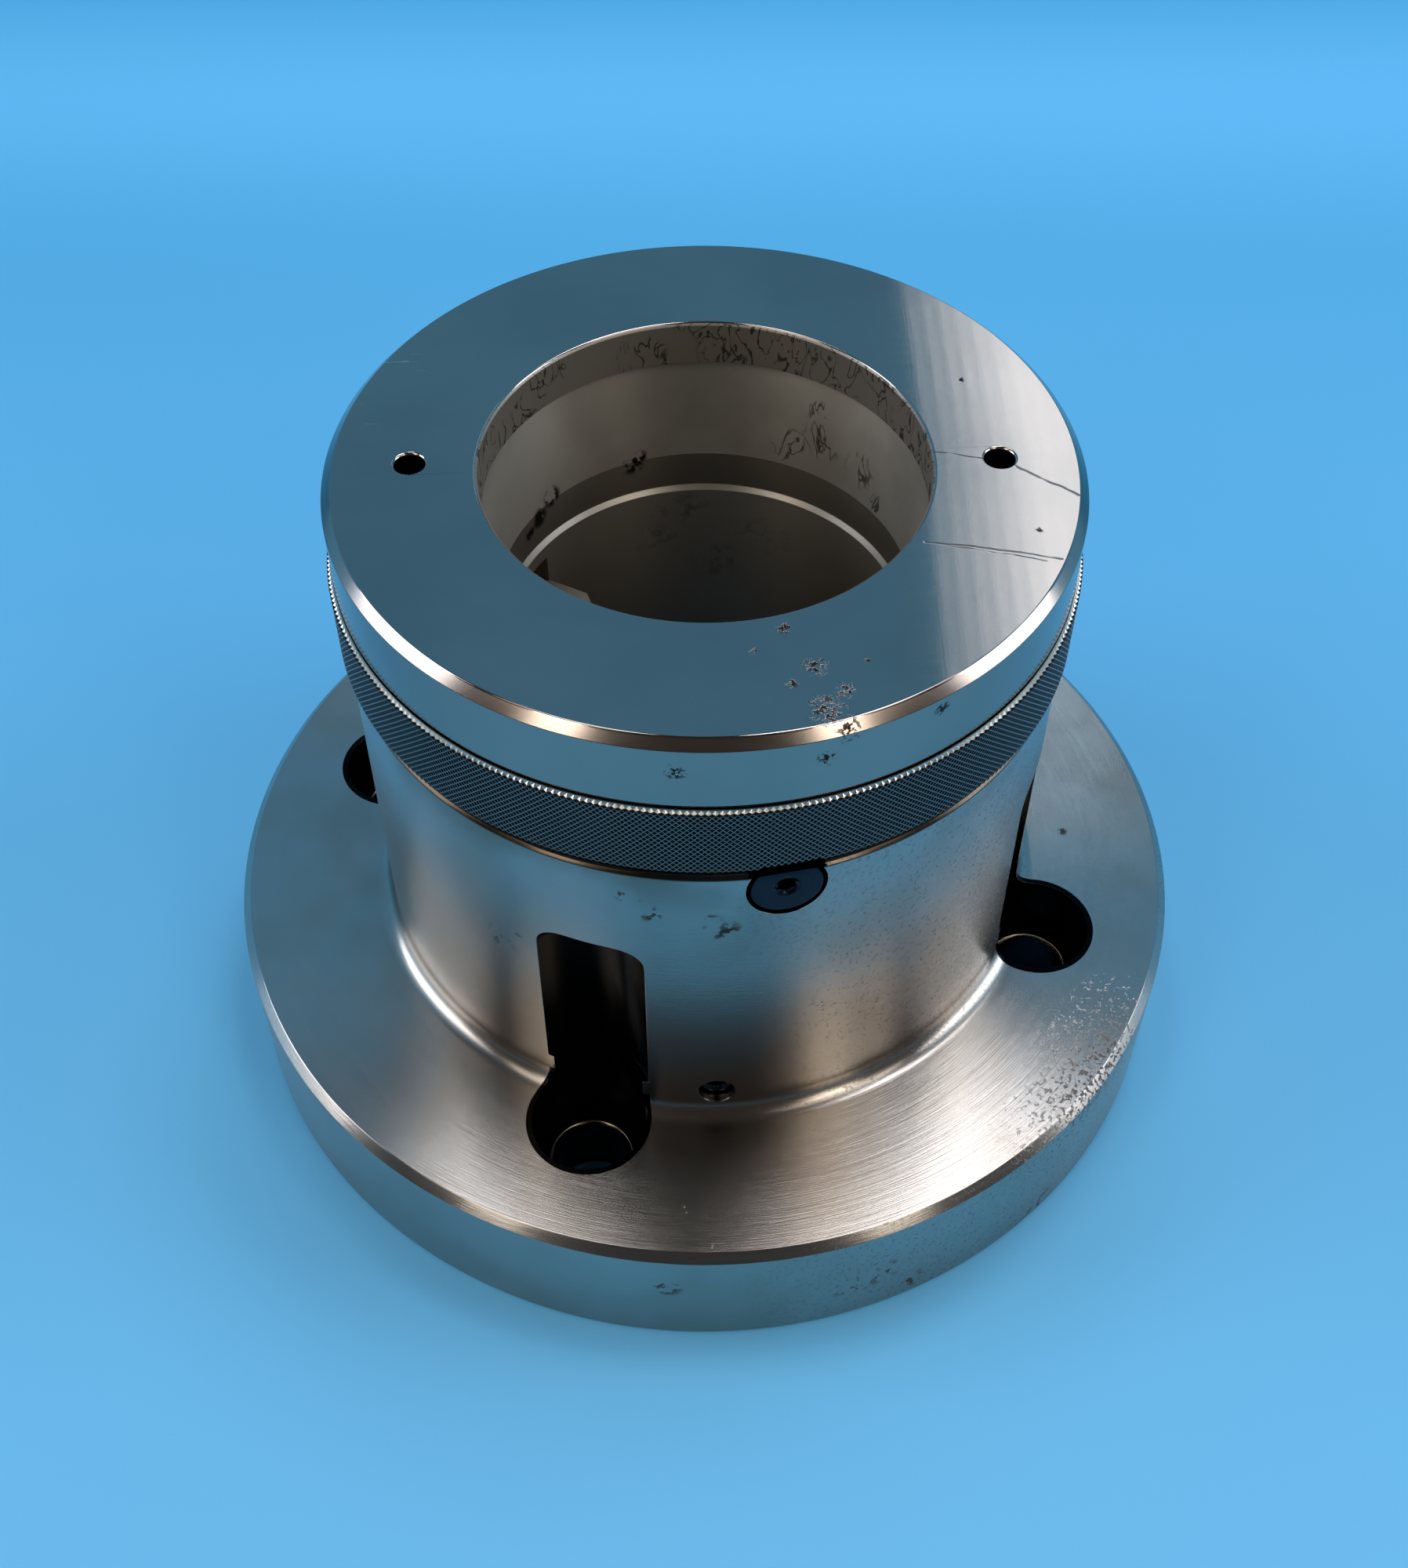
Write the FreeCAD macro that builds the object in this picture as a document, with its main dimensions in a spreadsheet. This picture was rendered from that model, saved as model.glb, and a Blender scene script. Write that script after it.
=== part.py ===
import FreeCAD, Part
import math
import os

import Sketcher

# Lathe collet chuck of the dead-length kind, for a short-taper spindle nose of size 6.
# The back face lies on z = 0, the turning axis is Z, and the front of the chuck looks along +Z.
# Angles are counted in the XY plane from +X, so 270 is the side that faces -Y.

os.makedirs("parts", exist_ok=True)
doc = FreeCAD.newDocument("collet_chuck")
sheet = doc.addObject("Spreadsheet::Sheet", "Sizes")

# Radii inside the neck are counted as steps from it, so they follow a neck of another size.
DRIVING_SIZES = {
    # flange and its screws
    "flange_diameter": 182.0,
    "flange_thickness": 27.5,
    "edge_chamfer": 1.6,
    "bolt_offset": 5.2,
    "bolt_count": 4,
    "bolt_angle": 252.0,
    "bolt_hole": 14.0,
    "screw_head_bore": 20.2,
    "screw_head_depth": 13.0,
    "scallop_diameter": 22.2,
    "scallop_corner": 4.5,
    "scallop_top": 46.2,
    "scallop_foot": 7.6,
    # neck and threaded nose
    "neck_diameter": 123.0,
    "neck_length": 66.7,
    "neck_fillet": 3.6,
    "neck_chamfer": 0.5,
    "nose_step": 6.5,
    "nose_chamfer": 1.2,
    "nose_wall": 8.0,
    "bore_mouth_chamfer": 0.8,
    # short-taper register and drive button hole in the back face
    "register_step": 8.3125,
    "register_depth": 15.0,
    "register_half_angle": 7.125,
    "button_hole": 19.2,
    "button_depth": 8.0,
    "button_angle": 297.0,
    # nose cap
    "cap_gap": 0.5,
    "cap_seat_gap": 0.1,
    "cap_height": 30.3,
    "cap_overhang": 0.2,
    "cap_lip": 8.3,
    "cap_bore_step": 1.4,
    "cap_bore_chamfer": 0.5,
    "knurl_overhang": 1.1,
    "knurl_width": 13.9,
    "knurl_lead": 0.6,
    "knurl_groove": 0.5,
    "cap_foot_chamfer": 2.5,
    "thread_clearance": 0.15,
    "spanner_hole": 5.0,
    "spanner_depth": 6.0,
    "spanner_inset": 10.9,
    "spanner_angle": 1.0,
    "spanner_count": 2,
    "hole_chamfer": 0.3,
    "notch_width": 9.2,
    "notch_height": 3.0,
    "notch_slant": 1.0,
    # turning lock beside the cap's notch
    "lock_angle": 282.0,
    "lock_drop": 3.8,
    "lock_diameter": 11.6,
    "lock_flat": 3.6,
    "lock_thickness": 3.6,
    "lock_pocket": 13.0,
    "lock_pocket_depth": 4.3,
    "lock_rim_chamfer": 0.7,
    "lock_shank": 5.0,
    "lock_shank_length": 6.6,
    "lock_socket": 3.0,
    "lock_socket_depth": 2.0,
    "thread_run_out": 0.4,
    "disc_spring_thickness": 0.4,
    "disc_spring_play": 0.15,
    "disc_spring_rise": 0.05,
    "disc_spring_gap": 0.02,
    # guide pin at the foot of the neck
    "guide_angle": 272.0,
    "guide_height": 33.5,
    "guide_hole": 6.5,
    "guide_pin_diameter": 6.4,
    "guide_pin_length": 7.0,
    "guide_pin_step": 0.2,
    "guide_dog": 5.9,
    "guide_dog_gap": 0.4,
    "guide_slot_depth": 3.2,
    "guide_slot_margin": 0.45,
    "guide_screw_length": 5.8,
    "guide_screw_socket": 3.0,
    # closing sleeve
    "running_clearance": 0.03,
    "assembly_gap": 0.05,
    "sleeve_front_gap": 0.6,
    "sleeve_foot": 27.0,
    "sleeve_stroke": 8.0,
    "sleeve_wall": 9.0,
    "taper_half_angle": 8.0,
    "taper_length": 18.8,
    "throat_step": 2.7,
    "throat_length": 7.2,
    # spring-loaded pusher inside the sleeve
    "pusher_wall": 3.5,
    "pusher_length": 36.0,
    "pusher_lead": 0.8,
    "pusher_stroke": 5.0,
    "spring_wire_width": 2.6,
    "spring_wire_height": 1.2,
    "spring_turns": 3.0,
    "spring_seat_thickness": 1.0,
    # key that holds the collet against turning
    "key_angle": 153.5,
    "key_width": 8.0,
    "key_length": 14.0,
    "key_height": 67.0,
    "key_reach": 10.3,
    "key_chamfer": 2.0,
    "key_depth": 4.5,
    "key_clearance": 0.1,
    "key_slot_end_gap": 0.5,
    "key_screw_spacing": 6.4,
    "key_screw_head": 4.4,
    "key_screw_head_length": 2.0,
    "key_screw_socket": 2.0,
    "key_screw_shank": 2.5,
    "key_screw_length": 5.0,
    "key_screw_sink": 0.3,
    # adapter that joins the sleeve to the draw tube
    "adapter_flange_gap": 3.0,
    "adapter_flange_thickness": 3.0,
    "adapter_spigot_length": 15.0,
    "adapter_hub_step": 8.0,
    "adapter_hub_length": 15.0,
    "adapter_wall": 3.6,
    "adapter_slot_width": 6.0,
    "adapter_slot_depth": 3.0,
    "adapter_slot_count": 4,
    "grub_diameter": 5.0,
    "grub_length": 5.0,
    "grub_height": 6.5,
    "grub_count": 3,
    "grub_angle": 60.0,
    "pad_length": 2.0,
    # seals
    "seal_section": 2.4,
    "seal_squeeze_gap": 0.06,
    "seal_side_gap": 0.15,
    "wiper_drop": 12.0,
    "rear_seal_height": 50.0,
    "cap_seal_drop": 3.8,
    "pusher_seal_rise": 2.6,
    "adapter_seal_drop": 2.0,
    "small_seal_section": 1.6,
}


# A size is a number together with the expression of the sheet that gives it.
class Size:
    def __init__(self, number, words):
        self.number = number
        self.words = words

    def __add__(self, other):
        other = as_size(other)
        return Size(self.number + other.number, f"({self.words} + {other.words})")

    def __sub__(self, other):
        other = as_size(other)
        return Size(self.number - other.number, f"({self.words} - {other.words})")

    def __mul__(self, other):
        other = as_size(other)
        return Size(self.number * other.number, f"({self.words} * {other.words})")

    def __truediv__(self, other):
        other = as_size(other)
        return Size(self.number / other.number, f"({self.words} / {other.words})")

    def __neg__(self):
        return Size(-self.number, f"(0 - {self.words})")

    def tangent(self):
        return Size(math.tan(math.radians(self.number)), f"tan({self.words} * 1 deg)")


def as_size(value):
    return value if isinstance(value, Size) else Size(value, f"{value:.9g}")


# The sheet lists each driving size by name, and "size" holds them for the code below.
class Named:
    pass


size = Named()
for row, (alias, number) in enumerate(DRIVING_SIZES.items(), start=1):
    sheet.set(f"A{row}", alias.replace("_", " "))
    sheet.set(f"B{row}", str(number))
    sheet.setAlias(f"B{row}", alias)
    setattr(size, alias, Size(float(number), f"Sizes.{alias}"))
doc.recompute()

zero = as_size(0.0)


# Sketches and the features that read them
def new_body(label):
    body = doc.addObject("PartDesign::Body", label)
    body.Label = label
    doc.recompute()
    return body


def origin_plane(body, role):
    return next(feature for feature in body.Origin.OriginFeatures if feature.Role == role)


# A sketch on the half plane that starts at the turning axis and lies at the given angle
def side_sketch(body, name, angle=zero):
    sketch = body.newObject("Sketcher::SketchObject", name)
    sketch.AttachmentSupport = (origin_plane(body, "XZ_Plane"), [""])
    sketch.MapMode = "FlatFace"
    turn = FreeCAD.Rotation(FreeCAD.Vector(0, 1, 0), angle.number)
    sketch.AttachmentOffset = FreeCAD.Placement(FreeCAD.Vector(0, 0, 0), turn)
    return sketch


# A sketch that faces outwards at the given angle, at a distance from the turning axis
def facing_sketch(body, name, angle, distance):
    sketch = body.newObject("Sketcher::SketchObject", name)
    sketch.AttachmentSupport = (origin_plane(body, "YZ_Plane"), [""])
    sketch.MapMode = "FlatFace"
    turn = FreeCAD.Rotation(FreeCAD.Vector(0, 1, 0), angle.number)
    radians = math.radians(angle.number)
    base = FreeCAD.Vector(distance.number * math.sin(radians), 0, distance.number * math.cos(radians))
    sketch.AttachmentOffset = FreeCAD.Placement(base, turn)
    sketch.setExpression("AttachmentOffset.Base.x", f"{distance.words} * sin({angle.words} * 1 deg)")
    sketch.setExpression("AttachmentOffset.Base.z", f"{distance.words} * cos({angle.words} * 1 deg)")
    return sketch


# A sketch across the turning axis at a height
def level_sketch(body, name, height):
    sketch = body.newObject("Sketcher::SketchObject", name)
    sketch.AttachmentSupport = (origin_plane(body, "XY_Plane"), [""])
    sketch.MapMode = "FlatFace"
    sketch.AttachmentOffset = FreeCAD.Placement(FreeCAD.Vector(0, 0, height.number), FreeCAD.Rotation())
    sketch.setExpression("AttachmentOffset.Base.z", height.words)
    return sketch


def tie_point(sketch, geometry, end, across, up):
    for kind, distance, axis in (("DistanceX", across, -2), ("DistanceY", up, -1)):
        if distance.number == 0:
            sketch.addConstraint(Sketcher.Constraint("PointOnObject", geometry, end, axis))
        else:
            index = sketch.addConstraint(Sketcher.Constraint(kind, -1, 1, geometry, end, distance.number))
            sketch.setExpression(f"Constraints[{index}]", distance.words)


def vector(across, up):
    return FreeCAD.Vector(across.number, up.number, 0)


def draw_outline(sketch, corners):
    corners = [(as_size(across), as_size(up)) for across, up in corners]
    first = sketch.GeometryCount
    for start, end in zip(corners, corners[1:] + corners[:1]):
        sketch.addGeometry(Part.LineSegment(vector(*start), vector(*end)), False)
    for step in range(len(corners)):
        following = first + (step + 1) % len(corners)
        sketch.addConstraint(Sketcher.Constraint("Coincident", first + step, 2, following, 1))
    for step, (across, up) in enumerate(corners):
        tie_point(sketch, first + step, 1, across, up)


def draw_axis(sketch, start, end):
    line = sketch.addGeometry(Part.LineSegment(vector(*start), vector(*end)), True)
    tie_point(sketch, line, 1, *start)
    tie_point(sketch, line, 2, *end)
    return (sketch, ["Axis0"])


def block_corners(width, foot, top):
    half = width / 2
    return [(-half, foot), (half, foot), (half, top), (-half, top)]


def hexagon(across_flats, height=zero):
    reach = across_flats / math.sqrt(3)
    turns = [math.radians(30 + 60 * step) for step in range(6)]
    return [(reach * math.cos(turn), height + reach * math.sin(turn)) for turn in turns]


def finish_feature(body, feature, before=None):
    doc.recompute()
    body.Tip = feature
    doc.recompute()
    if before is not None and feature.Shape.Volume > before - 1e-6:
        raise RuntimeError(f"{feature.Name} takes nothing off {body.Label}")
    return feature


def revolve(body, sketch, axis=None):
    feature = body.newObject("PartDesign::Revolution", sketch.Name + "_turned")
    feature.Profile = sketch
    feature.ReferenceAxis = axis or (sketch, ["V_Axis"])
    feature.Angle = 360
    return finish_feature(body, feature)


def turn_away(body, sketch, axis):
    before = body.Shape.Volume
    feature = body.newObject("PartDesign::Groove", sketch.Name + "_cut")
    feature.Profile = sketch
    feature.ReferenceAxis = axis
    feature.Angle = 360
    return finish_feature(body, feature, before)


def mill_away(body, sketch, depth, outwards=False):
    before = body.Shape.Volume
    feature = body.newObject("PartDesign::Pocket", sketch.Name + "_cut")
    feature.Profile = sketch
    feature.Length = depth.number
    feature.setExpression("Length", depth.words)
    feature.Reversed = outwards
    return finish_feature(body, feature, before)


def repeat_round(body, feature, count):
    before = body.Shape.Volume
    pattern = body.newObject("PartDesign::PolarPattern", feature.Name + "_round")
    pattern.Originals = [feature]
    pattern.Axis = (next(axis for axis in body.Origin.OriginFeatures if axis.Role == "Z_Axis"), [""])
    pattern.Angle = 360
    pattern.Occurrences = int(count.number)
    pattern.setExpression("Occurrences", count.words)
    return finish_feature(body, pattern, before)


# A hole that is round about an upright line at a distance from the turning axis
def drill_upright(body, name, angle, distance, steps):
    sketch = side_sketch(body, name, angle)
    axis = draw_axis(sketch, (distance, steps[0][1]), (distance, steps[-1][1]))
    outline = [(distance, steps[0][1])]
    outline += [(distance + radius, height) for radius, height in steps]
    outline += [(distance, steps[-1][1])]
    draw_outline(sketch, outline)
    return turn_away(body, sketch, axis)


# A hole that points at the turning axis, at a height, with its steps counted from that axis
def drill_inwards(body, name, angle, height, steps):
    sketch = side_sketch(body, name, angle)
    axis = draw_axis(sketch, (steps[0][1], height), (steps[-1][1], height))
    outline = [(steps[0][1], height)]
    outline += [(distance, height + radius) for radius, distance in steps]
    outline += [(steps[-1][1], height)]
    draw_outline(sketch, outline)
    return turn_away(body, sketch, axis)


# A turned pin or screw that points at the turning axis
def turned_inwards(label, angle, height, steps):
    body = new_body(label)
    sketch = side_sketch(body, label + "_outline", angle)
    axis = draw_axis(sketch, (steps[0][1], height), (steps[-1][1], height))
    outline = [(steps[0][1], height)]
    outline += [(distance, height + radius) for radius, distance in steps]
    outline += [(steps[-1][1], height)]
    draw_outline(sketch, outline)
    revolve(body, sketch, axis)
    return body


def add_socket(body, name, angle, height, face, across_flats, depth):
    sketch = facing_sketch(body, name, angle, face)
    draw_outline(sketch, hexagon(across_flats, height))
    mill_away(body, sketch, depth)


# A rubber ring, with six flats in place of its round section
def ring_seal(label, section, middle_radius, height):
    body = new_body(label)
    half = section / 2
    flat = half * math.tan(math.radians(30))
    corners = [(-flat, -half), (flat, -half), (half, zero), (flat, half), (-flat, half), (-half, zero)]
    sketch = side_sketch(body, label + "_section")
    draw_outline(sketch, [(middle_radius + across, height + up) for across, up in corners])
    revolve(body, sketch)
    return body


# Rectangular groove in an outline, seen as the corners that lead into it and out of it
def groove_corners(wall, floor, low, high):
    return [(wall, low), (floor, low), (floor, high), (wall, high)]


# Heights and radii that more than one piece reads
flange_radius = size.flange_diameter / 2
neck_radius = size.neck_diameter / 2
neck_top = size.flange_thickness + size.neck_length
nose_radius = neck_radius - size.nose_step
bore_radius = nose_radius - size.nose_wall
register_radius = neck_radius - size.register_step
cap_foot = neck_top + size.cap_gap
cap_top = cap_foot + size.cap_height
lip_foot = cap_top - size.cap_lip
nose_top = lip_foot - size.cap_seat_gap
bolt_distance = neck_radius + size.bolt_offset
lock_height = neck_top - size.lock_drop
lock_floor = neck_radius - size.lock_pocket_depth
sleeve_radius = bore_radius - size.running_clearance
sleeve_top = lip_foot - size.sleeve_front_gap
sleeve_bore_radius = bore_radius - size.sleeve_wall
throat_radius = sleeve_bore_radius - size.throat_step
throat_top = sleeve_top - size.taper_length
shoulder_height = throat_top - size.throat_length
pusher_radius = sleeve_bore_radius - size.running_clearance
pusher_bore_radius = sleeve_bore_radius - size.pusher_wall
pusher_top = shoulder_height - size.assembly_gap
pusher_foot = pusher_top - size.pusher_length
key_inner = pusher_bore_radius - size.key_reach
adapter_top = size.sleeve_foot + size.adapter_spigot_length
spring_foot = adapter_top + size.spring_seat_thickness
guide_slot_floor = sleeve_radius - size.guide_slot_depth
seal_groove_half = size.seal_section / 2 + size.seal_side_gap
seal_groove_depth = size.seal_section + size.seal_squeeze_gap * 2
wiper_height = nose_top - size.wiper_drop
cap_seal_height = lip_foot - size.cap_seal_drop


# Chuck body: flange, neck and threaded nose in one piece, with the spindle's short taper in its back
def make_chuck_body():
    body = new_body("chuck_body")
    register_top = register_radius - size.register_depth * size.register_half_angle.tangent()
    chamfer = size.edge_chamfer
    outline = [
        (register_radius, zero),
        (flange_radius - size.neck_chamfer, zero),
        (flange_radius, size.neck_chamfer),
        (flange_radius, size.flange_thickness - chamfer),
        (flange_radius - chamfer, size.flange_thickness),
        (neck_radius, size.flange_thickness),
        (neck_radius, neck_top - size.neck_chamfer),
        (neck_radius - size.neck_chamfer, neck_top),
        (nose_radius, neck_top),
        (nose_radius, nose_top - size.nose_chamfer),
        (nose_radius - size.nose_chamfer, nose_top),
        (bore_radius + size.bore_mouth_chamfer, nose_top),
        (bore_radius, nose_top - size.bore_mouth_chamfer),
    ]
    for height in (wiper_height, size.rear_seal_height):
        corners = groove_corners(bore_radius, bore_radius + seal_groove_depth,
                                 height - seal_groove_half, height + seal_groove_half)
        outline += corners[::-1]
    outline += [(bore_radius, size.register_depth), (register_top, size.register_depth)]
    sketch = side_sketch(body, "body_outline")
    draw_outline(sketch, outline)
    turned = revolve(body, sketch)

    fillet = body.newObject("PartDesign::Fillet", "neck_foot_fillet")
    fillet.Base = (turned, [edge_at(turned, neck_radius, size.flange_thickness)])
    fillet.Radius = size.neck_fillet.number
    fillet.setExpression("Radius", size.neck_fillet.words)
    finish_feature(body, fillet)

    cut_screw_seat(body)

    drill_inwards(body, "guide_hole", size.guide_angle, size.guide_height,
                  [(size.guide_hole / 2, bore_radius - 1), (size.guide_hole / 2, neck_radius + 2)])
    pocket = size.lock_pocket / 2
    rim = neck_radius - size.lock_rim_chamfer
    thread = size.lock_shank / 2 + size.assembly_gap
    thread_end = lock_floor - size.lock_shank_length - size.thread_run_out
    drill_inwards(body, "lock_pocket", size.lock_angle, lock_height,
                  [(thread, thread_end), (thread, lock_floor),
                   (pocket, lock_floor), (pocket, rim),
                   (pocket + size.lock_rim_chamfer * 2, neck_radius + size.lock_rim_chamfer)])
    drill_upright(body, "drive_button_hole", size.button_angle, bolt_distance,
                  [(size.button_hole / 2, zero - 1), (size.button_hole / 2, size.button_depth)])
    return body


def edge_at(feature, radius, height):
    for number, edge in enumerate(feature.Shape.Edges, start=1):
        if isinstance(edge.Curve, Part.Circle):
            same_radius = abs(edge.Curve.Radius - radius.number) < 1e-4
            if same_radius and abs(edge.Curve.Center.z - height.number) < 1e-4:
                return f"Edge{number}"
    raise RuntimeError("the edge to round off was not found")


# One screw's hole, the bore for its head, and the tall scallop that lets it into the neck
def cut_screw_seat(body):
    angle = size.bolt_angle
    head_floor = size.flange_thickness - size.screw_head_depth
    scallop_foot = size.flange_thickness + size.scallop_foot
    scallop_top = size.flange_thickness + size.scallop_top
    sketch = side_sketch(body, "screw_seat", angle)
    centre = bolt_distance
    hole = centre - size.bolt_hole / 2
    head = centre - size.screw_head_bore / 2
    wall = centre - size.scallop_diameter / 2
    corner = size.scallop_corner
    axis = draw_axis(sketch, (centre, zero - 1), (centre, scallop_top))
    points = [(centre, zero - 1), (hole, zero - 1), (hole, head_floor), (head, head_floor),
              (head, scallop_foot), (wall, scallop_foot), (wall, scallop_top - corner)]
    arc_end = (wall + corner, scallop_top)
    for start, end in zip(points, points[1:]):
        sketch.addGeometry(Part.LineSegment(vector(*start), vector(*end)), False)
    arc_centre = vector(wall + corner, scallop_top - corner)
    circle = Part.Circle(arc_centre, FreeCAD.Vector(0, 0, 1), corner.number)
    arc = sketch.addGeometry(Part.ArcOfCircle(circle, math.pi / 2, math.pi), False)
    roof = sketch.addGeometry(Part.LineSegment(vector(*arc_end), vector(centre, scallop_top)), False)
    spine = sketch.addGeometry(Part.LineSegment(vector(centre, scallop_top), vector(*points[0])), False)
    first = 1
    for step in range(len(points) - 2):
        sketch.addConstraint(Sketcher.Constraint("Coincident", first + step, 2, first + step + 1, 1))
    for step, (across, up) in enumerate(points[:-1]):
        tie_point(sketch, first + step, 1, across, up)
    wall_line = first + len(points) - 2
    sketch.addConstraint(Sketcher.Constraint("Tangent", wall_line, 2, arc, 2))
    sketch.addConstraint(Sketcher.Constraint("Tangent", arc, 1, roof, 1))
    tie_point(sketch, arc, 3, wall + corner, scallop_top - corner)
    sketch.addConstraint(Sketcher.Constraint("Coincident", roof, 2, spine, 1))
    sketch.addConstraint(Sketcher.Constraint("Coincident", spine, 2, first, 1))
    tie_point(sketch, spine, 1, centre, scallop_top)
    cut = turn_away(body, sketch, axis)
    repeat_round(body, cut, size.bolt_count)


# Nose cap: lip with two pin spanner holes, plain band, knurled band, and a notch for the lock
def make_nose_cap():
    body = new_body("nose_cap")
    outer = neck_radius + size.cap_overhang
    knurl = neck_radius + size.knurl_overhang
    thread = nose_radius + size.thread_clearance
    bore = throat_radius + size.cap_bore_step
    knurl_foot = cap_foot + size.cap_foot_chamfer
    knurl_top = knurl_foot + size.knurl_width
    seal_floor = thread + seal_groove_depth
    outline = [
        (thread, cap_foot),
        (knurl - size.cap_foot_chamfer, cap_foot),
        (knurl, knurl_foot),
        (knurl, knurl_top - size.knurl_lead / 2),
        (knurl - size.knurl_lead, knurl_top),
        (outer - size.knurl_groove, knurl_top),
        (outer - size.knurl_groove, knurl_top + size.knurl_groove),
        (outer, knurl_top + size.knurl_groove),
        (outer, cap_top - size.edge_chamfer),
        (outer - size.edge_chamfer, cap_top),
        (bore + size.cap_bore_chamfer, cap_top),
        (bore, cap_top - size.cap_bore_chamfer),
        (bore, lip_foot),
        (thread, lip_foot),
    ]
    corners = groove_corners(thread, seal_floor, cap_seal_height - seal_groove_half,
                             cap_seal_height + seal_groove_half)
    outline += corners[::-1]
    sketch = side_sketch(body, "cap_outline")
    draw_outline(sketch, outline)
    revolve(body, sketch)

    pin = size.spanner_hole / 2
    hole = drill_upright(body, "spanner_holes", size.spanner_angle, bore + size.spanner_inset,
                         [(pin, cap_top - size.spanner_depth), (pin, cap_top - size.hole_chamfer),
                          (pin + size.hole_chamfer * 2, cap_top + size.hole_chamfer)])
    repeat_round(body, hole, size.spanner_count)

    notch_top = knurl_foot + size.notch_height - size.cap_foot_chamfer
    half = size.notch_width / 2
    sketch = facing_sketch(body, "lock_notch", size.lock_angle, thread - 1)
    draw_outline(sketch, [(-half - size.notch_slant, cap_foot - 1), (half + size.notch_slant, cap_foot - 1),
                          (half + size.notch_slant, notch_top - size.notch_slant), (half, notch_top),
                          (-half, notch_top), (-half - size.notch_slant, notch_top - size.notch_slant)])
    mill_away(body, sketch, knurl - thread + 3, outwards=True)
    return body


# Turning lock: a D-shaped head on a screw, with its flat towards the cap when the cap is free
def make_cap_lock():
    head_foot = lock_floor + size.disc_spring_thickness + size.assembly_gap * 2
    head_top = head_foot + size.lock_thickness
    head = size.lock_diameter / 2
    shank = size.lock_shank / 2
    edge = size.hole_chamfer
    body = turned_inwards("cap_lock_screw", size.lock_angle, lock_height,
                          [(shank - edge, lock_floor - size.lock_shank_length),
                           (shank, lock_floor - size.lock_shank_length + edge),
                           (shank, head_foot), (head, head_foot),
                           (head, head_top - edge), (head - edge, head_top)])
    sketch = facing_sketch(body, "lock_flat", size.lock_angle, head_foot)
    flat = lock_height + size.lock_flat
    draw_outline(sketch, [(-head - 1, flat), (head + 1, flat), (head + 1, flat + head), (-head - 1, flat + head)])
    mill_away(body, sketch, size.lock_thickness + 1, outwards=True)
    add_socket(body, "lock_socket", size.lock_angle, lock_height, head_top, size.lock_socket,
               size.lock_socket_depth)
    return body


# Disc spring under the lock's head, which keeps it from turning by itself
def make_lock_spring():
    thickness = size.disc_spring_thickness
    rise = size.disc_spring_rise
    inner = size.lock_shank / 2 + size.disc_spring_play
    outer = size.lock_flat
    body = new_body("lock_disc_spring")
    sketch = side_sketch(body, "disc_spring_outline", size.lock_angle)
    start = lock_floor + size.disc_spring_gap
    axis = draw_axis(sketch, (start - 1, lock_height), (start + 1, lock_height))
    draw_outline(sketch, [(start + rise, lock_height + inner), (start, lock_height + outer),
                          (start + thickness, lock_height + outer),
                          (start + thickness + rise, lock_height + inner)])
    revolve(body, sketch, axis)
    return body


# Guide pin, whose dog runs in the sleeve's slot, and the set screw that holds it
def make_guide_pin():
    pin = size.guide_pin_diameter / 2
    dog = size.guide_dog / 2
    start = guide_slot_floor + size.guide_dog_gap
    end = bore_radius + size.guide_pin_length
    return turned_inwards("guide_pin", size.guide_angle, size.guide_height,
                          [(dog - size.hole_chamfer, start), (dog, start + size.hole_chamfer),
                           (dog, bore_radius), (pin, bore_radius + size.guide_pin_step), (pin, end)])


def make_guide_screw():
    pin = size.guide_pin_diameter / 2
    start = bore_radius + size.guide_pin_length + size.assembly_gap
    end = start + size.guide_screw_length
    edge = size.hole_chamfer
    body = turned_inwards("guide_pin_set_screw", size.guide_angle, size.guide_height,
                          [(pin - edge, start), (pin, start + edge), (pin, end - edge), (pin - edge, end)])
    add_socket(body, "guide_screw_socket", size.guide_angle, size.guide_height, end,
               size.guide_screw_socket, size.guide_screw_length / 2)
    return body


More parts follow.
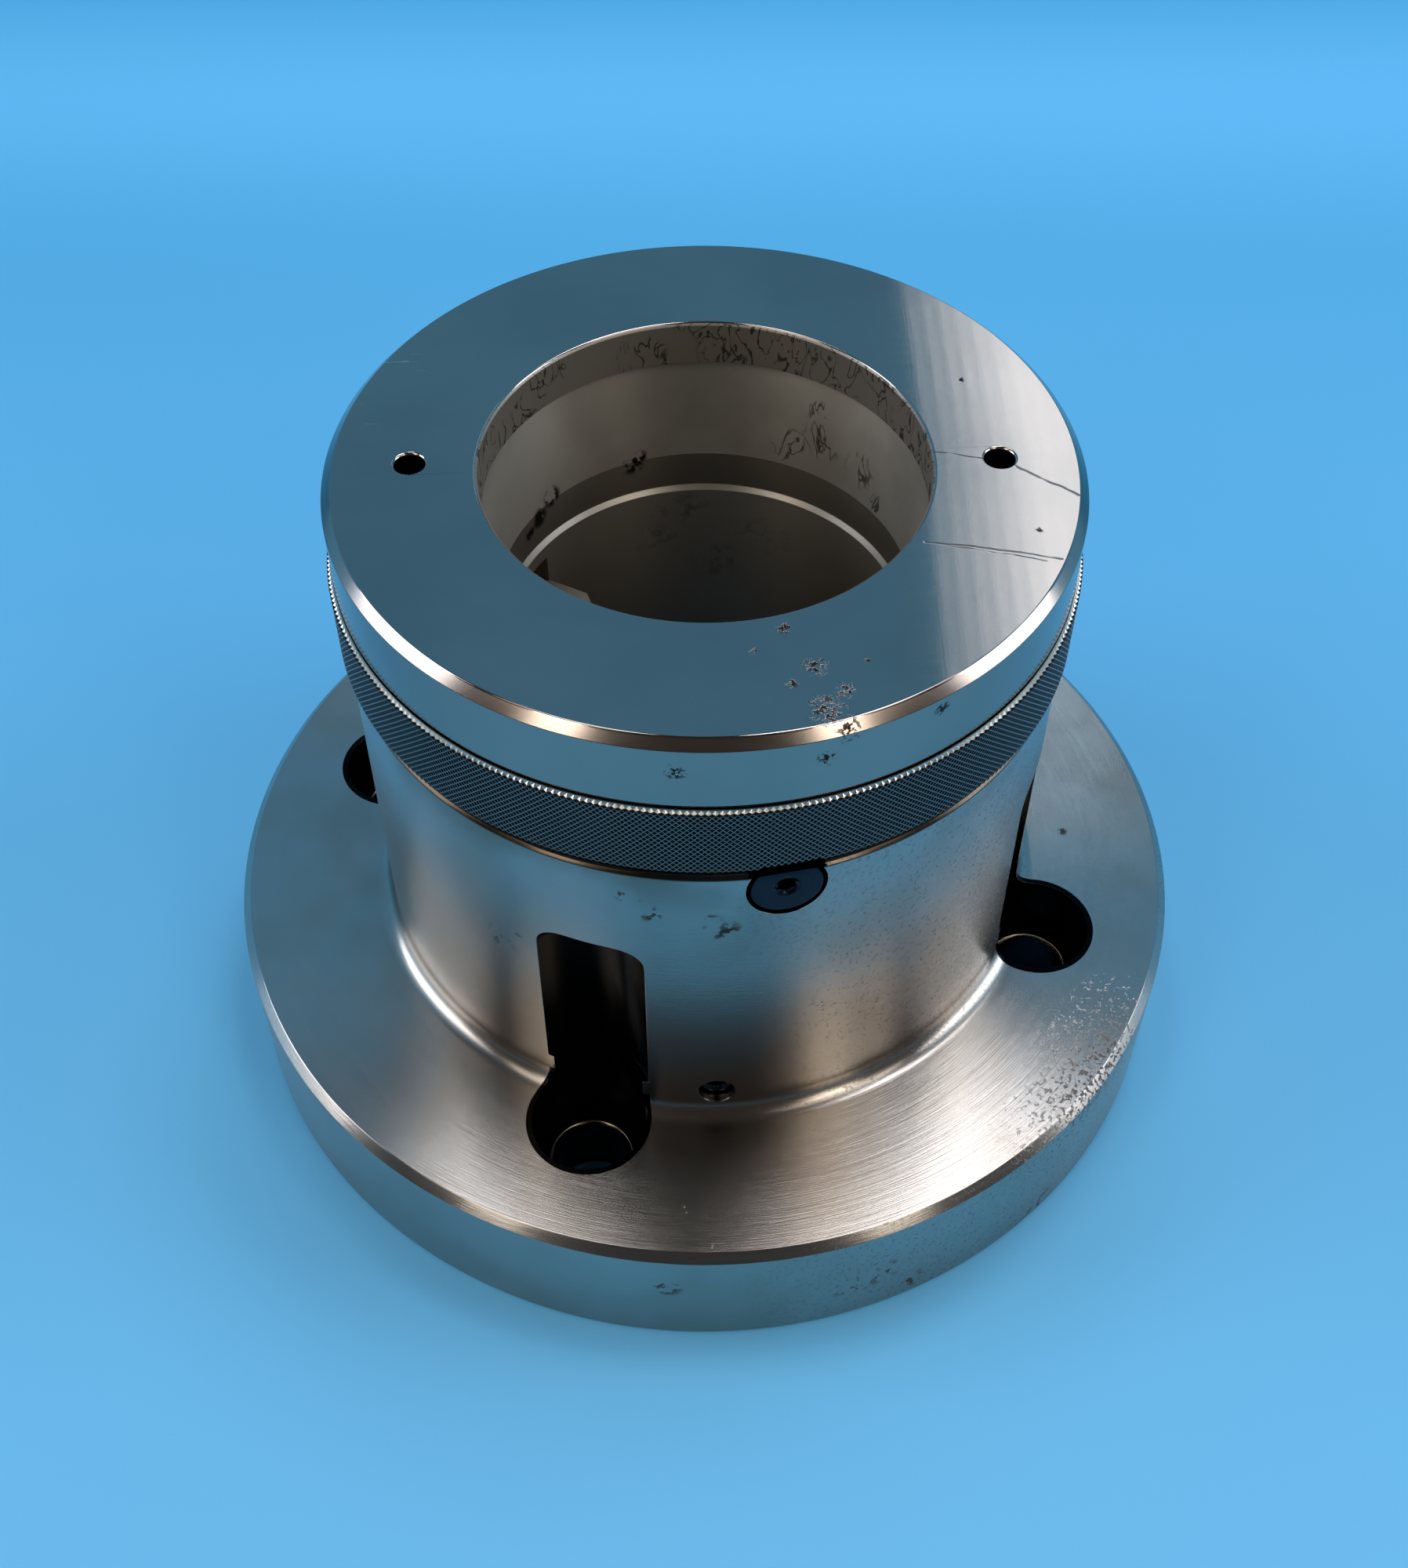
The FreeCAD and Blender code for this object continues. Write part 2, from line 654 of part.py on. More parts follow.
# Closing sleeve: its taper squeezes the collet's head as it slides forward
def make_closing_sleeve():
    body = new_body("closing_sleeve")
    mouth = throat_radius + size.taper_length * size.taper_half_angle.tangent()
    lead = size.bore_mouth_chamfer
    outline = [
        (sleeve_bore_radius, size.sleeve_foot),
        (sleeve_radius - lead, size.sleeve_foot),
        (sleeve_radius, size.sleeve_foot + lead),
        (sleeve_radius, sleeve_top - lead),
        (sleeve_radius - lead, sleeve_top),
        (mouth, sleeve_top),
        (throat_radius, throat_top),
        (throat_radius, shoulder_height),
        (sleeve_bore_radius, shoulder_height),
    ]
    sketch = side_sketch(body, "sleeve_outline")
    draw_outline(sketch, outline)
    revolve(body, sketch)

    slot_top = (size.guide_height + size.guide_dog / 2 + size.sleeve_stroke + size.guide_slot_margin)
    half = size.guide_dog / 2 + size.running_clearance
    sketch = facing_sketch(body, "guide_slot", size.guide_angle, guide_slot_floor)
    draw_outline(sketch, [(-half, size.sleeve_foot - 1), (half, size.sleeve_foot - 1),
                          (half, slot_top), (-half, slot_top)])
    mill_away(body, sketch, size.guide_slot_depth + 1, outwards=True)

    key_top = size.key_height + size.key_length
    sketch = facing_sketch(body, "key_seat", size.key_angle, sleeve_bore_radius - 2)
    fit = size.key_clearance / 2
    draw_outline(sketch, block_corners(size.key_width + fit * 2, size.key_height - fit, key_top + fit))
    mill_away(body, sketch, size.key_depth + 2, outwards=True)
    seat = sleeve_bore_radius + size.key_depth
    head_seat = sleeve_radius - size.key_screw_head_length - size.key_screw_sink
    shank_hole = size.key_screw_shank / 2 + size.key_clearance
    head_hole = size.key_screw_head / 2 + size.key_clearance
    for name, height in key_screw_heights():
        drill_inwards(body, "key_screw_hole_" + name, size.key_angle, height,
                      [(shank_hole, seat - 1), (shank_hole, head_seat),
                       (head_hole, head_seat), (head_hole, sleeve_radius + 1)])

    grub_thread = size.grub_diameter / 2 + size.assembly_gap
    grub_hole = drill_inwards(body, "adapter_screw_holes", size.grub_angle, size.sleeve_foot + size.grub_height,
                              [(grub_thread, sleeve_bore_radius - 1), (grub_thread, sleeve_radius + 1)])
    repeat_round(body, grub_hole, size.grub_count)
    return body


def key_screw_heights():
    middle = size.key_height + size.key_length / 2
    return (("low", middle - size.key_screw_spacing / 2), ("high", middle + size.key_screw_spacing / 2))


# Key that the collet's keyway slides over, let into the sleeve from inside
def make_collet_key():
    body = new_body("collet_key")
    end = sleeve_bore_radius + size.key_depth - size.assembly_gap
    sketch = facing_sketch(body, "key_outline", size.key_angle, key_inner)
    draw_outline(sketch, block_corners(size.key_width, size.key_height, size.key_height + size.key_length))
    pad = body.newObject("PartDesign::Pad", "key_block")
    pad.Profile = sketch
    pad.Length = (end - key_inner).number
    pad.setExpression("Length", (end - key_inner).words)
    finish_feature(body, pad)
    chamfer = body.newObject("PartDesign::Chamfer", "key_nose_chamfer")
    chamfer.Base = (pad, inner_upright_edges(pad))
    chamfer.Size = size.key_chamfer.number
    chamfer.setExpression("Size", size.key_chamfer.words)
    finish_feature(body, chamfer)
    thread = size.key_screw_shank / 2 + size.assembly_gap
    for name, height in key_screw_heights():
        drill_inwards(body, "key_thread_" + name, size.key_angle, height,
                      [(thread, end - size.key_screw_length), (thread, end + 1)])
    return body


def inner_upright_edges(feature):
    found = []
    for number, edge in enumerate(feature.Shape.Edges, start=1):
        first, last = (vertex.Point for vertex in edge.Vertexes)
        upright = abs(first.x - last.x) < 1e-6 and abs(first.y - last.y) < 1e-6
        near_axis = math.hypot(first.x, first.y) < key_inner.number + size.key_width.number / 2
        if upright and near_axis:
            found.append(f"Edge{number}")
    return found


def make_key_screws():
    head_foot = sleeve_radius - size.key_screw_head_length - size.key_screw_sink + size.assembly_gap
    head_top = sleeve_radius - size.key_screw_sink
    shank = size.key_screw_shank / 2
    head = size.key_screw_head / 2
    shank_end = sleeve_bore_radius + size.key_depth - size.key_screw_length + size.thread_run_out
    screws = []
    for name, height in key_screw_heights():
        screw = turned_inwards("key_screw_" + name, size.key_angle, height,
                               [(shank, shank_end), (shank, head_foot), (head, head_foot), (head, head_top)])
        add_socket(screw, "key_screw_socket_" + name, size.key_angle, height, head_top,
                   size.key_screw_socket, size.key_screw_head_length / 2)
        screws.append(screw)
    return gather("collet_key_screws", screws)


def gather(label, pieces):
    group = doc.addObject("Part::Compound", label)
    group.Label = label
    group.Links = pieces
    doc.recompute()
    return group


# Pusher: a spring-loaded tube that keeps the collet's back end against the cap while the sleeve opens
def make_collet_pusher():
    body = new_body("collet_pusher")
    section = size.small_seal_section
    seal_height = pusher_foot + size.pusher_seal_rise
    groove = groove_corners(pusher_radius, pusher_radius - section - size.seal_squeeze_gap * 2,
                            seal_height - section / 2 - size.seal_side_gap,
                            seal_height + section / 2 + size.seal_side_gap)
    outline = [
        (pusher_bore_radius, pusher_foot),
        (pusher_radius, pusher_foot),
        *groove,
        (pusher_radius, pusher_top),
        (pusher_bore_radius + size.pusher_lead, pusher_top),
        (pusher_bore_radius, pusher_top - size.pusher_lead),
    ]
    sketch = side_sketch(body, "pusher_outline")
    draw_outline(sketch, outline)
    revolve(body, sketch)
    gap = size.key_clearance
    sketch = facing_sketch(body, "pusher_key_slot", size.key_angle, pusher_bore_radius - 2)
    slot_top = size.key_height + size.key_length + size.pusher_stroke + size.key_slot_end_gap
    slot_foot = size.key_height - size.key_slot_end_gap
    draw_outline(sketch, block_corners(size.key_width + gap * 2, slot_foot, slot_top))
    mill_away(body, sketch, pusher_radius - pusher_bore_radius + 4, outwards=True)
    return body


# Pusher spring: a coil of rectangular wire, made of ruled faces between its four corner helices
def make_pusher_spring():
    middle = (pusher_bore_radius.number + pusher_radius.number) / 2
    inner = middle - size.spring_wire_width.number / 2
    outer = middle + size.spring_wire_width.number / 2
    height = size.spring_wire_height.number
    end_gap = size.assembly_gap.number
    rise = pusher_foot.number - spring_foot.number - height - end_gap * 2
    helices = []
    for radius, lift in ((inner, 0), (outer, 0), (outer, height), (inner, height)):
        helix = Part.makeLongHelix(rise / size.spring_turns.number, rise, radius, 0)
        helix.translate(FreeCAD.Vector(0, 0, lift))
        helices.append(helix.Edges)
    faces = []
    for lower, upper in zip(helices, helices[1:] + helices[:1]):
        faces += [Part.makeRuledSurface(first, second) for first, second in zip(lower, upper)]
    for turn, vertex in ((0, 0), (-1, -1)):
        corners = [helix[turn].Vertexes[vertex].Point for helix in helices]
        faces.append(Part.Face(Part.makePolygon(corners + corners[:1])))
    shell = Part.makeShell(faces)
    shell.sewShape()
    coil = Part.makeSolid(shell)
    if coil.Volume < 0:
        coil.reverse()
    spring = doc.addObject("Part::Feature", "pusher_spring")
    spring.Label = "pusher_spring"
    spring.Shape = coil
    spring.Placement = FreeCAD.Placement(FreeCAD.Vector(0, 0, spring_foot.number + end_gap), FreeCAD.Rotation())
    return spring


def make_spring_seat():
    body = new_body("spring_seat_washer")
    sketch = side_sketch(body, "spring_seat_outline")
    draw_outline(sketch, [(pusher_bore_radius, adapter_top), (pusher_radius, adapter_top),
                          (pusher_radius, spring_foot), (pusher_bore_radius, spring_foot)])
    revolve(body, sketch)
    return body


# Adapter: screwed into the sleeve's foot, it takes the end of the machine's draw tube
def make_drawtube_adapter():
    body = new_body("drawtube_adapter")
    spigot = sleeve_bore_radius - size.running_clearance
    hub = sleeve_bore_radius - size.adapter_hub_step
    bore = hub - size.adapter_wall
    flange = bore_radius - size.adapter_flange_gap
    flange_foot = size.sleeve_foot - size.adapter_flange_thickness
    hub_foot = flange_foot - size.adapter_hub_length
    lead = size.bore_mouth_chamfer
    section = size.small_seal_section
    seal_height = adapter_top - size.adapter_seal_drop
    groove = groove_corners(spigot, spigot - section - size.seal_squeeze_gap * 2,
                            seal_height - section / 2 - size.seal_side_gap,
                            seal_height + section / 2 + size.seal_side_gap)
    outline = [
        (bore + lead, hub_foot),
        (hub - lead, hub_foot),
        (hub, hub_foot + lead),
        (hub, flange_foot),
        (flange, flange_foot),
        (flange, size.sleeve_foot),
        (spigot, size.sleeve_foot),
        *groove,
        (spigot, adapter_top),
        (bore + lead, adapter_top),
        (bore, adapter_top - lead),
        (bore, hub_foot + lead),
    ]
    sketch = side_sketch(body, "adapter_outline")
    draw_outline(sketch, outline)
    revolve(body, sketch)
    half = size.adapter_slot_width / 2
    sketch = level_sketch(body, "wrench_slots", hub_foot + size.adapter_slot_depth)
    draw_outline(sketch, [(bore - 1, -half), (hub + 1, -half), (hub + 1, half), (bore - 1, half)])
    slot = mill_away(body, sketch, size.adapter_slot_depth + 1)
    repeat_round(body, slot, size.adapter_slot_count)
    return body


# Set screws that lock the adapter's thread, each on a soft pad that spares it
def make_adapter_screws():
    screws = []
    pads = []
    height = size.sleeve_foot + size.grub_height
    radius = size.grub_diameter / 2
    pad_foot = sleeve_bore_radius + size.running_clearance
    foot = pad_foot + size.pad_length + size.assembly_gap
    top = foot + size.grub_length
    pad_radius = radius - size.assembly_gap * 2
    edge = size.hole_chamfer
    for step in range(int(size.grub_count.number)):
        angle = size.grub_angle + 360.0 / size.grub_count.number * step
        name = str(step + 1)
        screw = turned_inwards("adapter_set_screw_" + name, angle, height,
                               [(radius - edge, foot), (radius, foot + edge),
                                (radius, top - edge), (radius - edge, top)])
        add_socket(screw, "set_screw_socket_" + name, angle, height, top, radius, size.grub_length / 2)
        pad = turned_inwards("thread_pad_" + name, angle, height,
                             [(pad_radius, pad_foot), (pad_radius, pad_foot + size.pad_length)])
        screws.append(screw)
        pads.append(pad)
    return gather("adapter_set_screws", screws), gather("adapter_thread_pads", pads)


def make_seals():
    half = size.seal_section / 2 + size.seal_squeeze_gap
    small = size.small_seal_section / 2 + size.seal_squeeze_gap
    thread = nose_radius + size.thread_clearance
    spigot = sleeve_bore_radius - size.running_clearance
    return [
        ring_seal("sleeve_wiper_seal", size.seal_section, bore_radius + half, wiper_height),
        ring_seal("sleeve_rear_seal", size.seal_section, bore_radius + half, size.rear_seal_height),
        ring_seal("cap_seal", size.seal_section, thread + half, cap_seal_height),
        ring_seal("pusher_seal", size.small_seal_section, pusher_radius - small,
                  pusher_foot + size.pusher_seal_rise),
        ring_seal("adapter_seal", size.small_seal_section, spigot - small,
                  adapter_top - size.adapter_seal_drop),
    ]


nodes = [
    make_chuck_body(),
    make_nose_cap(),
    make_cap_lock(),
    make_lock_spring(),
    make_guide_pin(),
    make_guide_screw(),
    make_closing_sleeve(),
    make_collet_key(),
    make_key_screws(),
    make_collet_pusher(),
    make_pusher_spring(),
    make_spring_seat(),
    make_drawtube_adapter(),
    *make_adapter_screws(),
    *make_seals(),
]

doc.recompute()
for thing in doc.Objects:
    if "Invalid" in thing.State or "Error" in thing.State:
        raise RuntimeError(f"{thing.Label} failed: {thing.State}")
for node in nodes:
    shape = node.Shape
    if shape.isNull() or not shape.isValid():
        raise RuntimeError(f"{node.Label} has no valid shape")
    shape.exportStep(f"parts/{node.Label}.step")
    box = shape.BoundBox
    print(f"{node.Label:22s} solids {len(shape.Solids)}  volume {shape.Volume / 1000:9.2f} cm3"
          f"  z {box.ZMin:7.2f} to {box.ZMax:7.2f}  x {box.XMin:7.2f} to {box.XMax:7.2f}")
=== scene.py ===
import math
from functools import partial

import bmesh
import bpy
from mathutils import Matrix, Vector


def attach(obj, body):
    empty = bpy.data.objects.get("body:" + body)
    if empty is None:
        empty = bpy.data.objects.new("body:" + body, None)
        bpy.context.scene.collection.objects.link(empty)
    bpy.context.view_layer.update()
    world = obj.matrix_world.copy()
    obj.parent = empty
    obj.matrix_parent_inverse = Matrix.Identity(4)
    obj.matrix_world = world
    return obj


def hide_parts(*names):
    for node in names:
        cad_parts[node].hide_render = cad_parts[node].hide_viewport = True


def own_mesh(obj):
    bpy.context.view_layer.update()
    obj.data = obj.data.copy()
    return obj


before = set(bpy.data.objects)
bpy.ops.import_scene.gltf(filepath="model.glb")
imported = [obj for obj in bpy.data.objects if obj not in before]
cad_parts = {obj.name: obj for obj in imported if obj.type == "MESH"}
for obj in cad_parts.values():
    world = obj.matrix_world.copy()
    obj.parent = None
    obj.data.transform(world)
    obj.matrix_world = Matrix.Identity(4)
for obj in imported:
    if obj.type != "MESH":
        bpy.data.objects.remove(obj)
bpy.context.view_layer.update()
mm = 0.001
scene = bpy.context.scene
scene.view_settings.view_transform = "Standard"
print("frame loaded")


# Camera: stands in front of the chuck and looks down on it, at the photograph's angle
cameraSettings = {
    "place": (0, -0.2428, 0.32696),
    "pitch": 49.256,
    "yaw": 0.177,
    "roll": 0.047,
    "focalPixels": 2466.1,
    "imageHeight": 2000,
    "centreShift": -0.0044,
}


def addCamera(settings):
    data = bpy.data.cameras.new("photoCamera")
    data.sensor_width = 36
    data.lens = settings["focalPixels"] / settings["imageHeight"] * 36
    data.shift_x = settings["centreShift"]
    data.clip_start = 0.01
    camera = bpy.data.objects.new("photoCamera", data)
    scene.collection.objects.link(camera)
    pitch, yaw, roll = (math.radians(settings[key]) for key in ("pitch", "yaw", "roll"))
    ahead = Vector((0, math.cos(pitch), -math.sin(pitch)))
    right = Vector((1, 0, 0))
    up = right.cross(ahead)
    lookAhead = ahead * math.cos(yaw) + right * math.sin(yaw)
    lookRight = right * math.cos(yaw) - ahead * math.sin(yaw)
    turnedRight = lookRight * math.cos(roll) + up * math.sin(roll)
    turnedUp = up * math.cos(roll) - lookRight * math.sin(roll)
    turn = Matrix((turnedRight, turnedUp, -lookAhead)).transposed()
    camera.rotation_euler = turn.to_euler()
    camera.location = settings["place"]
    scene.camera = camera
    return camera


addCamera(cameraSettings)
print("camera placed")


# Colours are written as sRGB hex and turned linear here
def linearColour(code):
    parts = [int(code[start:start + 2], 16) / 255 for start in (1, 3, 5)]
    return tuple(part / 12.92 if part <= 0.04045 else ((part + 0.055) / 1.055) ** 2.4
                 for part in parts) + (1,)


# Adds a node with its settings and links, and gives back the output that is wanted
def addNode(tree, kind, inputs=(), output=0, **settings):
    node = tree.nodes.new("ShaderNode" + kind)
    for name, value in settings.items():
        setattr(node, name, value)
    for name, value in inputs.items() if isinstance(inputs, dict) else enumerate(inputs):
        if isinstance(value, bpy.types.NodeSocket):
            tree.links.new(value, node.inputs[name])
        else:
            node.inputs[name].default_value = value
    return node.outputs[output]


smooth = {"interpolation_type": "SMOOTHSTEP"}
mixed = {"data_type": "RGBA"}
product = {"operation": "MULTIPLY"}


# A new material with its shader, the way to add nodes to it, and the place on the piece
def startMaterial(name, metallic=1.0):
    material = bpy.data.materials.new(name)
    material.use_nodes = True
    shader = material.node_tree.nodes["Principled BSDF"]
    shader.inputs["Metallic"].default_value = metallic
    add = partial(addNode, material.node_tree)
    return material, shader, add, add("TexCoord", output="Object")


def feedShader(shader, links):
    for name, value in links.items():
        shader.id_data.links.new(value, shader.inputs[name])


# Place on a turned surface: distance from the turning axis, turn about it, and height
def turnedPlace(add, place):
    across, ahead, height = (add("SeparateXYZ", [place], output) for output in range(3))
    flat = add("VectorMath", [place, (1, 1, 0)], **product)
    radius = add("VectorMath", [flat], "Value", operation="LENGTH")
    return radius, add("Math", [ahead, across], operation="ARCTAN2"), height


# How near a point of the surface is to a given place: one at the place, none beyond the reach
def near(add, place, centre, reach, core=0.0):
    gap = add("VectorMath", [place, [part * mm for part in centre]], "Value", operation="DISTANCE")
    return add("MapRange", [gap, reach * mm, core * mm], **smooth)


# A thin mark from one place to another, which wanders a little
def streak(add, place, start, end, width, wander, scale=160.0):
    shake = add("TexNoise", {"Vector": place, "Scale": scale, "Detail": 2.0}, "Color")
    push = add("VectorMath", [shake, (0.5, 0.5, 0.5)], operation="SUBTRACT")
    push = add("VectorMath", {0: push, "Scale": wander * mm}, operation="SCALE")
    place = add("VectorMath", [place, push], operation="ADD")
    begin = Vector(start) * mm
    along = Vector(end) * mm - begin
    offset = add("VectorMath", [place, begin], operation="SUBTRACT")
    share = add("VectorMath", [offset, along / along.length_squared], "Value", operation="DOT_PRODUCT")
    foot = add("VectorMath", {0: along, "Scale": add("Clamp", [share])}, operation="SCALE")
    gap = add("VectorMath", [offset, foot], "Value", operation="DISTANCE")
    return add("MapRange", [gap, width * mm, width * 0.3 * mm], **smooth)


def strongest(add, masks):
    total = masks[0]
    for mask in masks[1:]:
        total = add("Math", [total, mask], operation="MAXIMUM")
    return total


# Fine tool marks that run round the axis: they change fast across the lines and slowly along them
def toolLines(add, across, turn, length, scale, detail=2.0):
    sideways = add("Math", [add("Math", [turn], operation="COSINE"), length], **product)
    lengthways = add("Math", [add("Math", [turn], operation="SINE"), length], **product)
    around = add("CombineXYZ", [across, sideways, lengthways])
    return add("TexNoise", {"Vector": around, "Scale": scale, "Detail": detail})


# Dried oil: loops and runs where a wandering pattern crosses one level
def driedLoops(add, place, scale, level, width):
    tall = add("Mapping", {"Vector": place, "Scale": (1.0, 1.0, 0.55)})
    pattern = add("TexNoise", {"Vector": tall, "Scale": scale, "Detail": 2.0, "Roughness": 0.5,
                               "Distortion": 1.6})
    gap = add("Math", [add("Math", [pattern, level], operation="SUBTRACT")], operation="ABSOLUTE")
    return add("MapRange", [gap, width, width * 0.3], **smooth)


# Lays coats of colour over a ground, each where its mask is
def layColours(add, look, ground, coats):
    for mask, name in coats:
        ground = add("Mix", {0: mask, 6: ground, 7: linearColour(look[name])}, 2, **mixed)
    return ground


# Stretches the highlights across the tool marks, which run round the axis
def runRound(shader, add, amount):
    shader.inputs["Anisotropic"].default_value = amount
    shader.inputs["Anisotropic Rotation"].default_value = 0.25
    feedShader(shader, {"Tangent": add("Tangent", direction_type="RADIAL", axis="Z")})


# Flange and neck, turned and ground carbon steel: satin with fine rings that fan out the light, screw seats,
# lock pocket and screw hole painted dark as shade in their recesses, a painted glint and a painted floor
# reflection in the seat holes, a rusty top edge also darkened as painted shade, brown stains under the cap
# and pits of rust on the rim
bodySteelLook = {
    # edge is the rust tone of the neck's top edge, also painted shade of the gap under the cap
    "colour": "#aca69f", "warm": "#9f958a", "freckle": "#3c4144", "stain": "#6b5640", "edge": "#3f2f1d",
    # seat and seatEdge are painted shade in the screw seats
    "rust": "#3b2a20", "seat": "#090a0c", "seatEdge": "#1b1713", "seatRimGlint": "#8a7c6c", "seatHoleReflection": "#1d2733",
    "seatDistance": 66.7, "seatAngle": 252, "seatRadius": 11.16, "seatTop": 73.75,
    # the dark holes are the lock pocket and the guide screw hole, painted dark as shade in their recesses
    "paintedShadeHoles": (((12.2, -57.6, 90.4), 7.4), ((1.9, -54.5, 33.5), 6.6)), "rimRustTurn": math.radians(38),
    "roughness": 0.2, "anisotropy": 0.88,
    "spots": (((71.6, 2.7, 27.5), 1.3), ((-2.5, -81.0, 27.5), 1.5), ((-7.9, -84.0, 27.5), 1.3),
              ((0.8, -88.4, 27.5), 1.0), ((-34.0, -51.3, 65.4), 4.0), ((-31.5, -52.8, 67.0), 3.0),
              ((-12.1, -60.3, 89.0), 3.0), ((-8.5, -60.9, 84.5), 2.6), ((3.5, -61.4, 80.5), 3.6),
              ((0.5, -61.5, 83.0), 3.2), ((31.0, -85.5, 12.5), 5.5), ((26.0, -87.2, 10.0), 4.5),
              ((62.0, -66.5, 3.0), 5.0), ((-6.5, -90.8, 17.0), 3.5), ((37.0, -83.1, 5.0), 4.0)),
}


def makeBodySteel(look):
    material, shader, add, place = startMaterial("turnedBodySteel")
    radius, turn, height = turnedPlace(add, place)
    across, ahead = (add("SeparateXYZ", [place], output) for output in range(2))
    facing = add("SeparateXYZ", [add("NewGeometry", output="Normal")], 2)
    level = add("MapRange", [facing, 0.9, 0.98], **smooth)
    upright = add("Math", [1.0, level], operation="SUBTRACT")
    cloud = add("TexNoise", {"Vector": place, "Scale": 38.0, "Detail": 4.0})
    mottle = add("TexNoise", {"Vector": place, "Scale": 1400.0, "Detail": 3.0, "Roughness": 0.6})
    blotch = add("TexNoise", {"Vector": place, "Scale": 420.0, "Detail": 4.0, "Roughness": 0.6})
    # turning marks are 0.1 mm apart in the steel; the coarser of these two can be seen
    ringFine = toolLines(add, radius, turn, 0.0006, 8000.0)
    ringBroad = toolLines(add, radius, turn, 0.003, 1500.0)
    wallLines = toolLines(add, height, turn, 0.0025, 6500.0, 3.0)
    rings = add("Math", [ringBroad, 0.8, ringFine], operation="MULTIPLY_ADD")
    lines = add("Mix", {0: level, 2: wallLines, 3: rings})

    # brown stain just under the cap, and the rusty top edge that meets it, darkened further as painted shade
    # of the gap under the cap
    underCap = add("Math", [add("MapRange", [height, 0.0845, 0.0938], **smooth),
                            add("MapRange", [cloud, 0.42, 0.62], **smooth)], **product)
    topEdgeRustAndShade = add("MapRange", [height, 0.0934, 0.0937], **smooth)
    # fine dark freckles of 0.3 to 0.8 mm over the right of the neck
    side = add("Math", [add("MapRange", [across, -0.006, 0.03], **smooth),
                        add("MapRange", [ahead, 0.02, -0.01], **smooth)], **product)
    side = add("Math", [side, upright], **product)
    freckles = add("Math", [add("Math", [add("MapRange", [mottle, 0.53, 0.66], **smooth), side], **product),
                            0.35], **product)
    # pits of rust along the flange's right rim, thickest at the edge
    away = add("Math", [add("Math", [turn, look["rimRustTurn"]], operation="ADD")], operation="ABSOLUTE")
    rim = add("Math", [add("MapRange", [away, 0.32, 0.03], **smooth),
                       add("MapRange", [radius, 0.074, 0.0908], **smooth)], **product)
    rim = add("Math", [rim, add("MapRange", [height, 0.014, 0.026], **smooth)], **product)
    grown = add("Math", [rim, 0.11, mottle], operation="MULTIPLY_ADD")
    pits = add("Math", [add("MapRange", [grown, 0.62, 0.68], **smooth), rim], **product)
    spots = strongest(add, [near(add, place, spot, size, size * 0.3) for spot, size in look["spots"]])
    marks = add("Math", [spots, add("MapRange", [blotch, 0.52, 0.6], **smooth)], **product)
    # the screw seats are painted near-black, as shade in their recesses: folded round the axis, all four are
    # one circle
    folded = add("Math", [add("Math", [turn, math.radians(look["seatAngle"])], operation="SUBTRACT"),
                          math.pi / 4, -math.pi / 4], operation="WRAP")
    inwards = add("Math", [radius, add("Math", [folded], operation="COSINE")], **product)
    sideways = add("Math", [radius, add("Math", [folded], operation="SINE")], **product)
    seatPlace = add("CombineXYZ", [inwards, sideways, 0.0])
    seatGap = add("VectorMath", [seatPlace, (look["seatDistance"] * mm, 0, 0)], "Value", operation="DISTANCE")
    seat = add("MapRange", [seatGap, (look["seatRadius"] + 0.06) * mm, look["seatRadius"] * mm], **smooth)
    seat = add("Math", [seat, add("MapRange", [height, 0.0004, 0.0008], **smooth)], **product)
    underTop = add("MapRange", [height, look["seatTop"] * mm, (look["seatTop"] - 0.1) * mm], **smooth)
    seat = add("Math", [seat, underTop], **product)
    # the lock pocket and the guide screw hole are painted dark, as shade in their recesses
    holes = [near(add, place, spot, reach, reach - 0.1) for spot, reach in look["paintedShadeHoles"]]
    paintedShade = strongest(add, [seat] + holes)
    # the neck's skin beside a seat is kept out of the painted shade
    skin = add("Math", [add("MapRange", [radius, 0.06141, 0.06145]),
                        add("MapRange", [height, 0.0311, 0.0313])], **product)
    paintedShade = add("Math", [paintedShade, add("Math", [1.0, skin], operation="SUBTRACT")], **product)
    # the screw hole at the foot of each seat: a painted glint on its rim, over a painted dark blue reflection
    # of the floor on its wall
    holeWallReflection = add("MapRange", [height, 0.0141, 0.0139], **smooth)
    holeRimGlint = add("Math", [add("MapRange", [seatGap, 0.0077, 0.0074], **smooth),
                           add("MapRange", [height, 0.0139, 0.0141], **smooth)], **product)
    holeRimGlint = add("Math", [holeRimGlint, add("MapRange", [height, 0.02, 0.016])], **product)

    cloudMask = add("MapRange", [cloud, 0.35, 0.75], **smooth)
    rust = add("Math", [strongest(add, [pits, marks]), 0.85], **product)
    colour = layColours(add, look, linearColour(look["colour"]), (
        (cloudMask, "warm"), (add("Math", [underCap, 0.45], **product), "stain"),
        (add("Math", [topEdgeRustAndShade, 0.85], **product), "edge"), (freckles, "freckle"), (rust, "rust")))
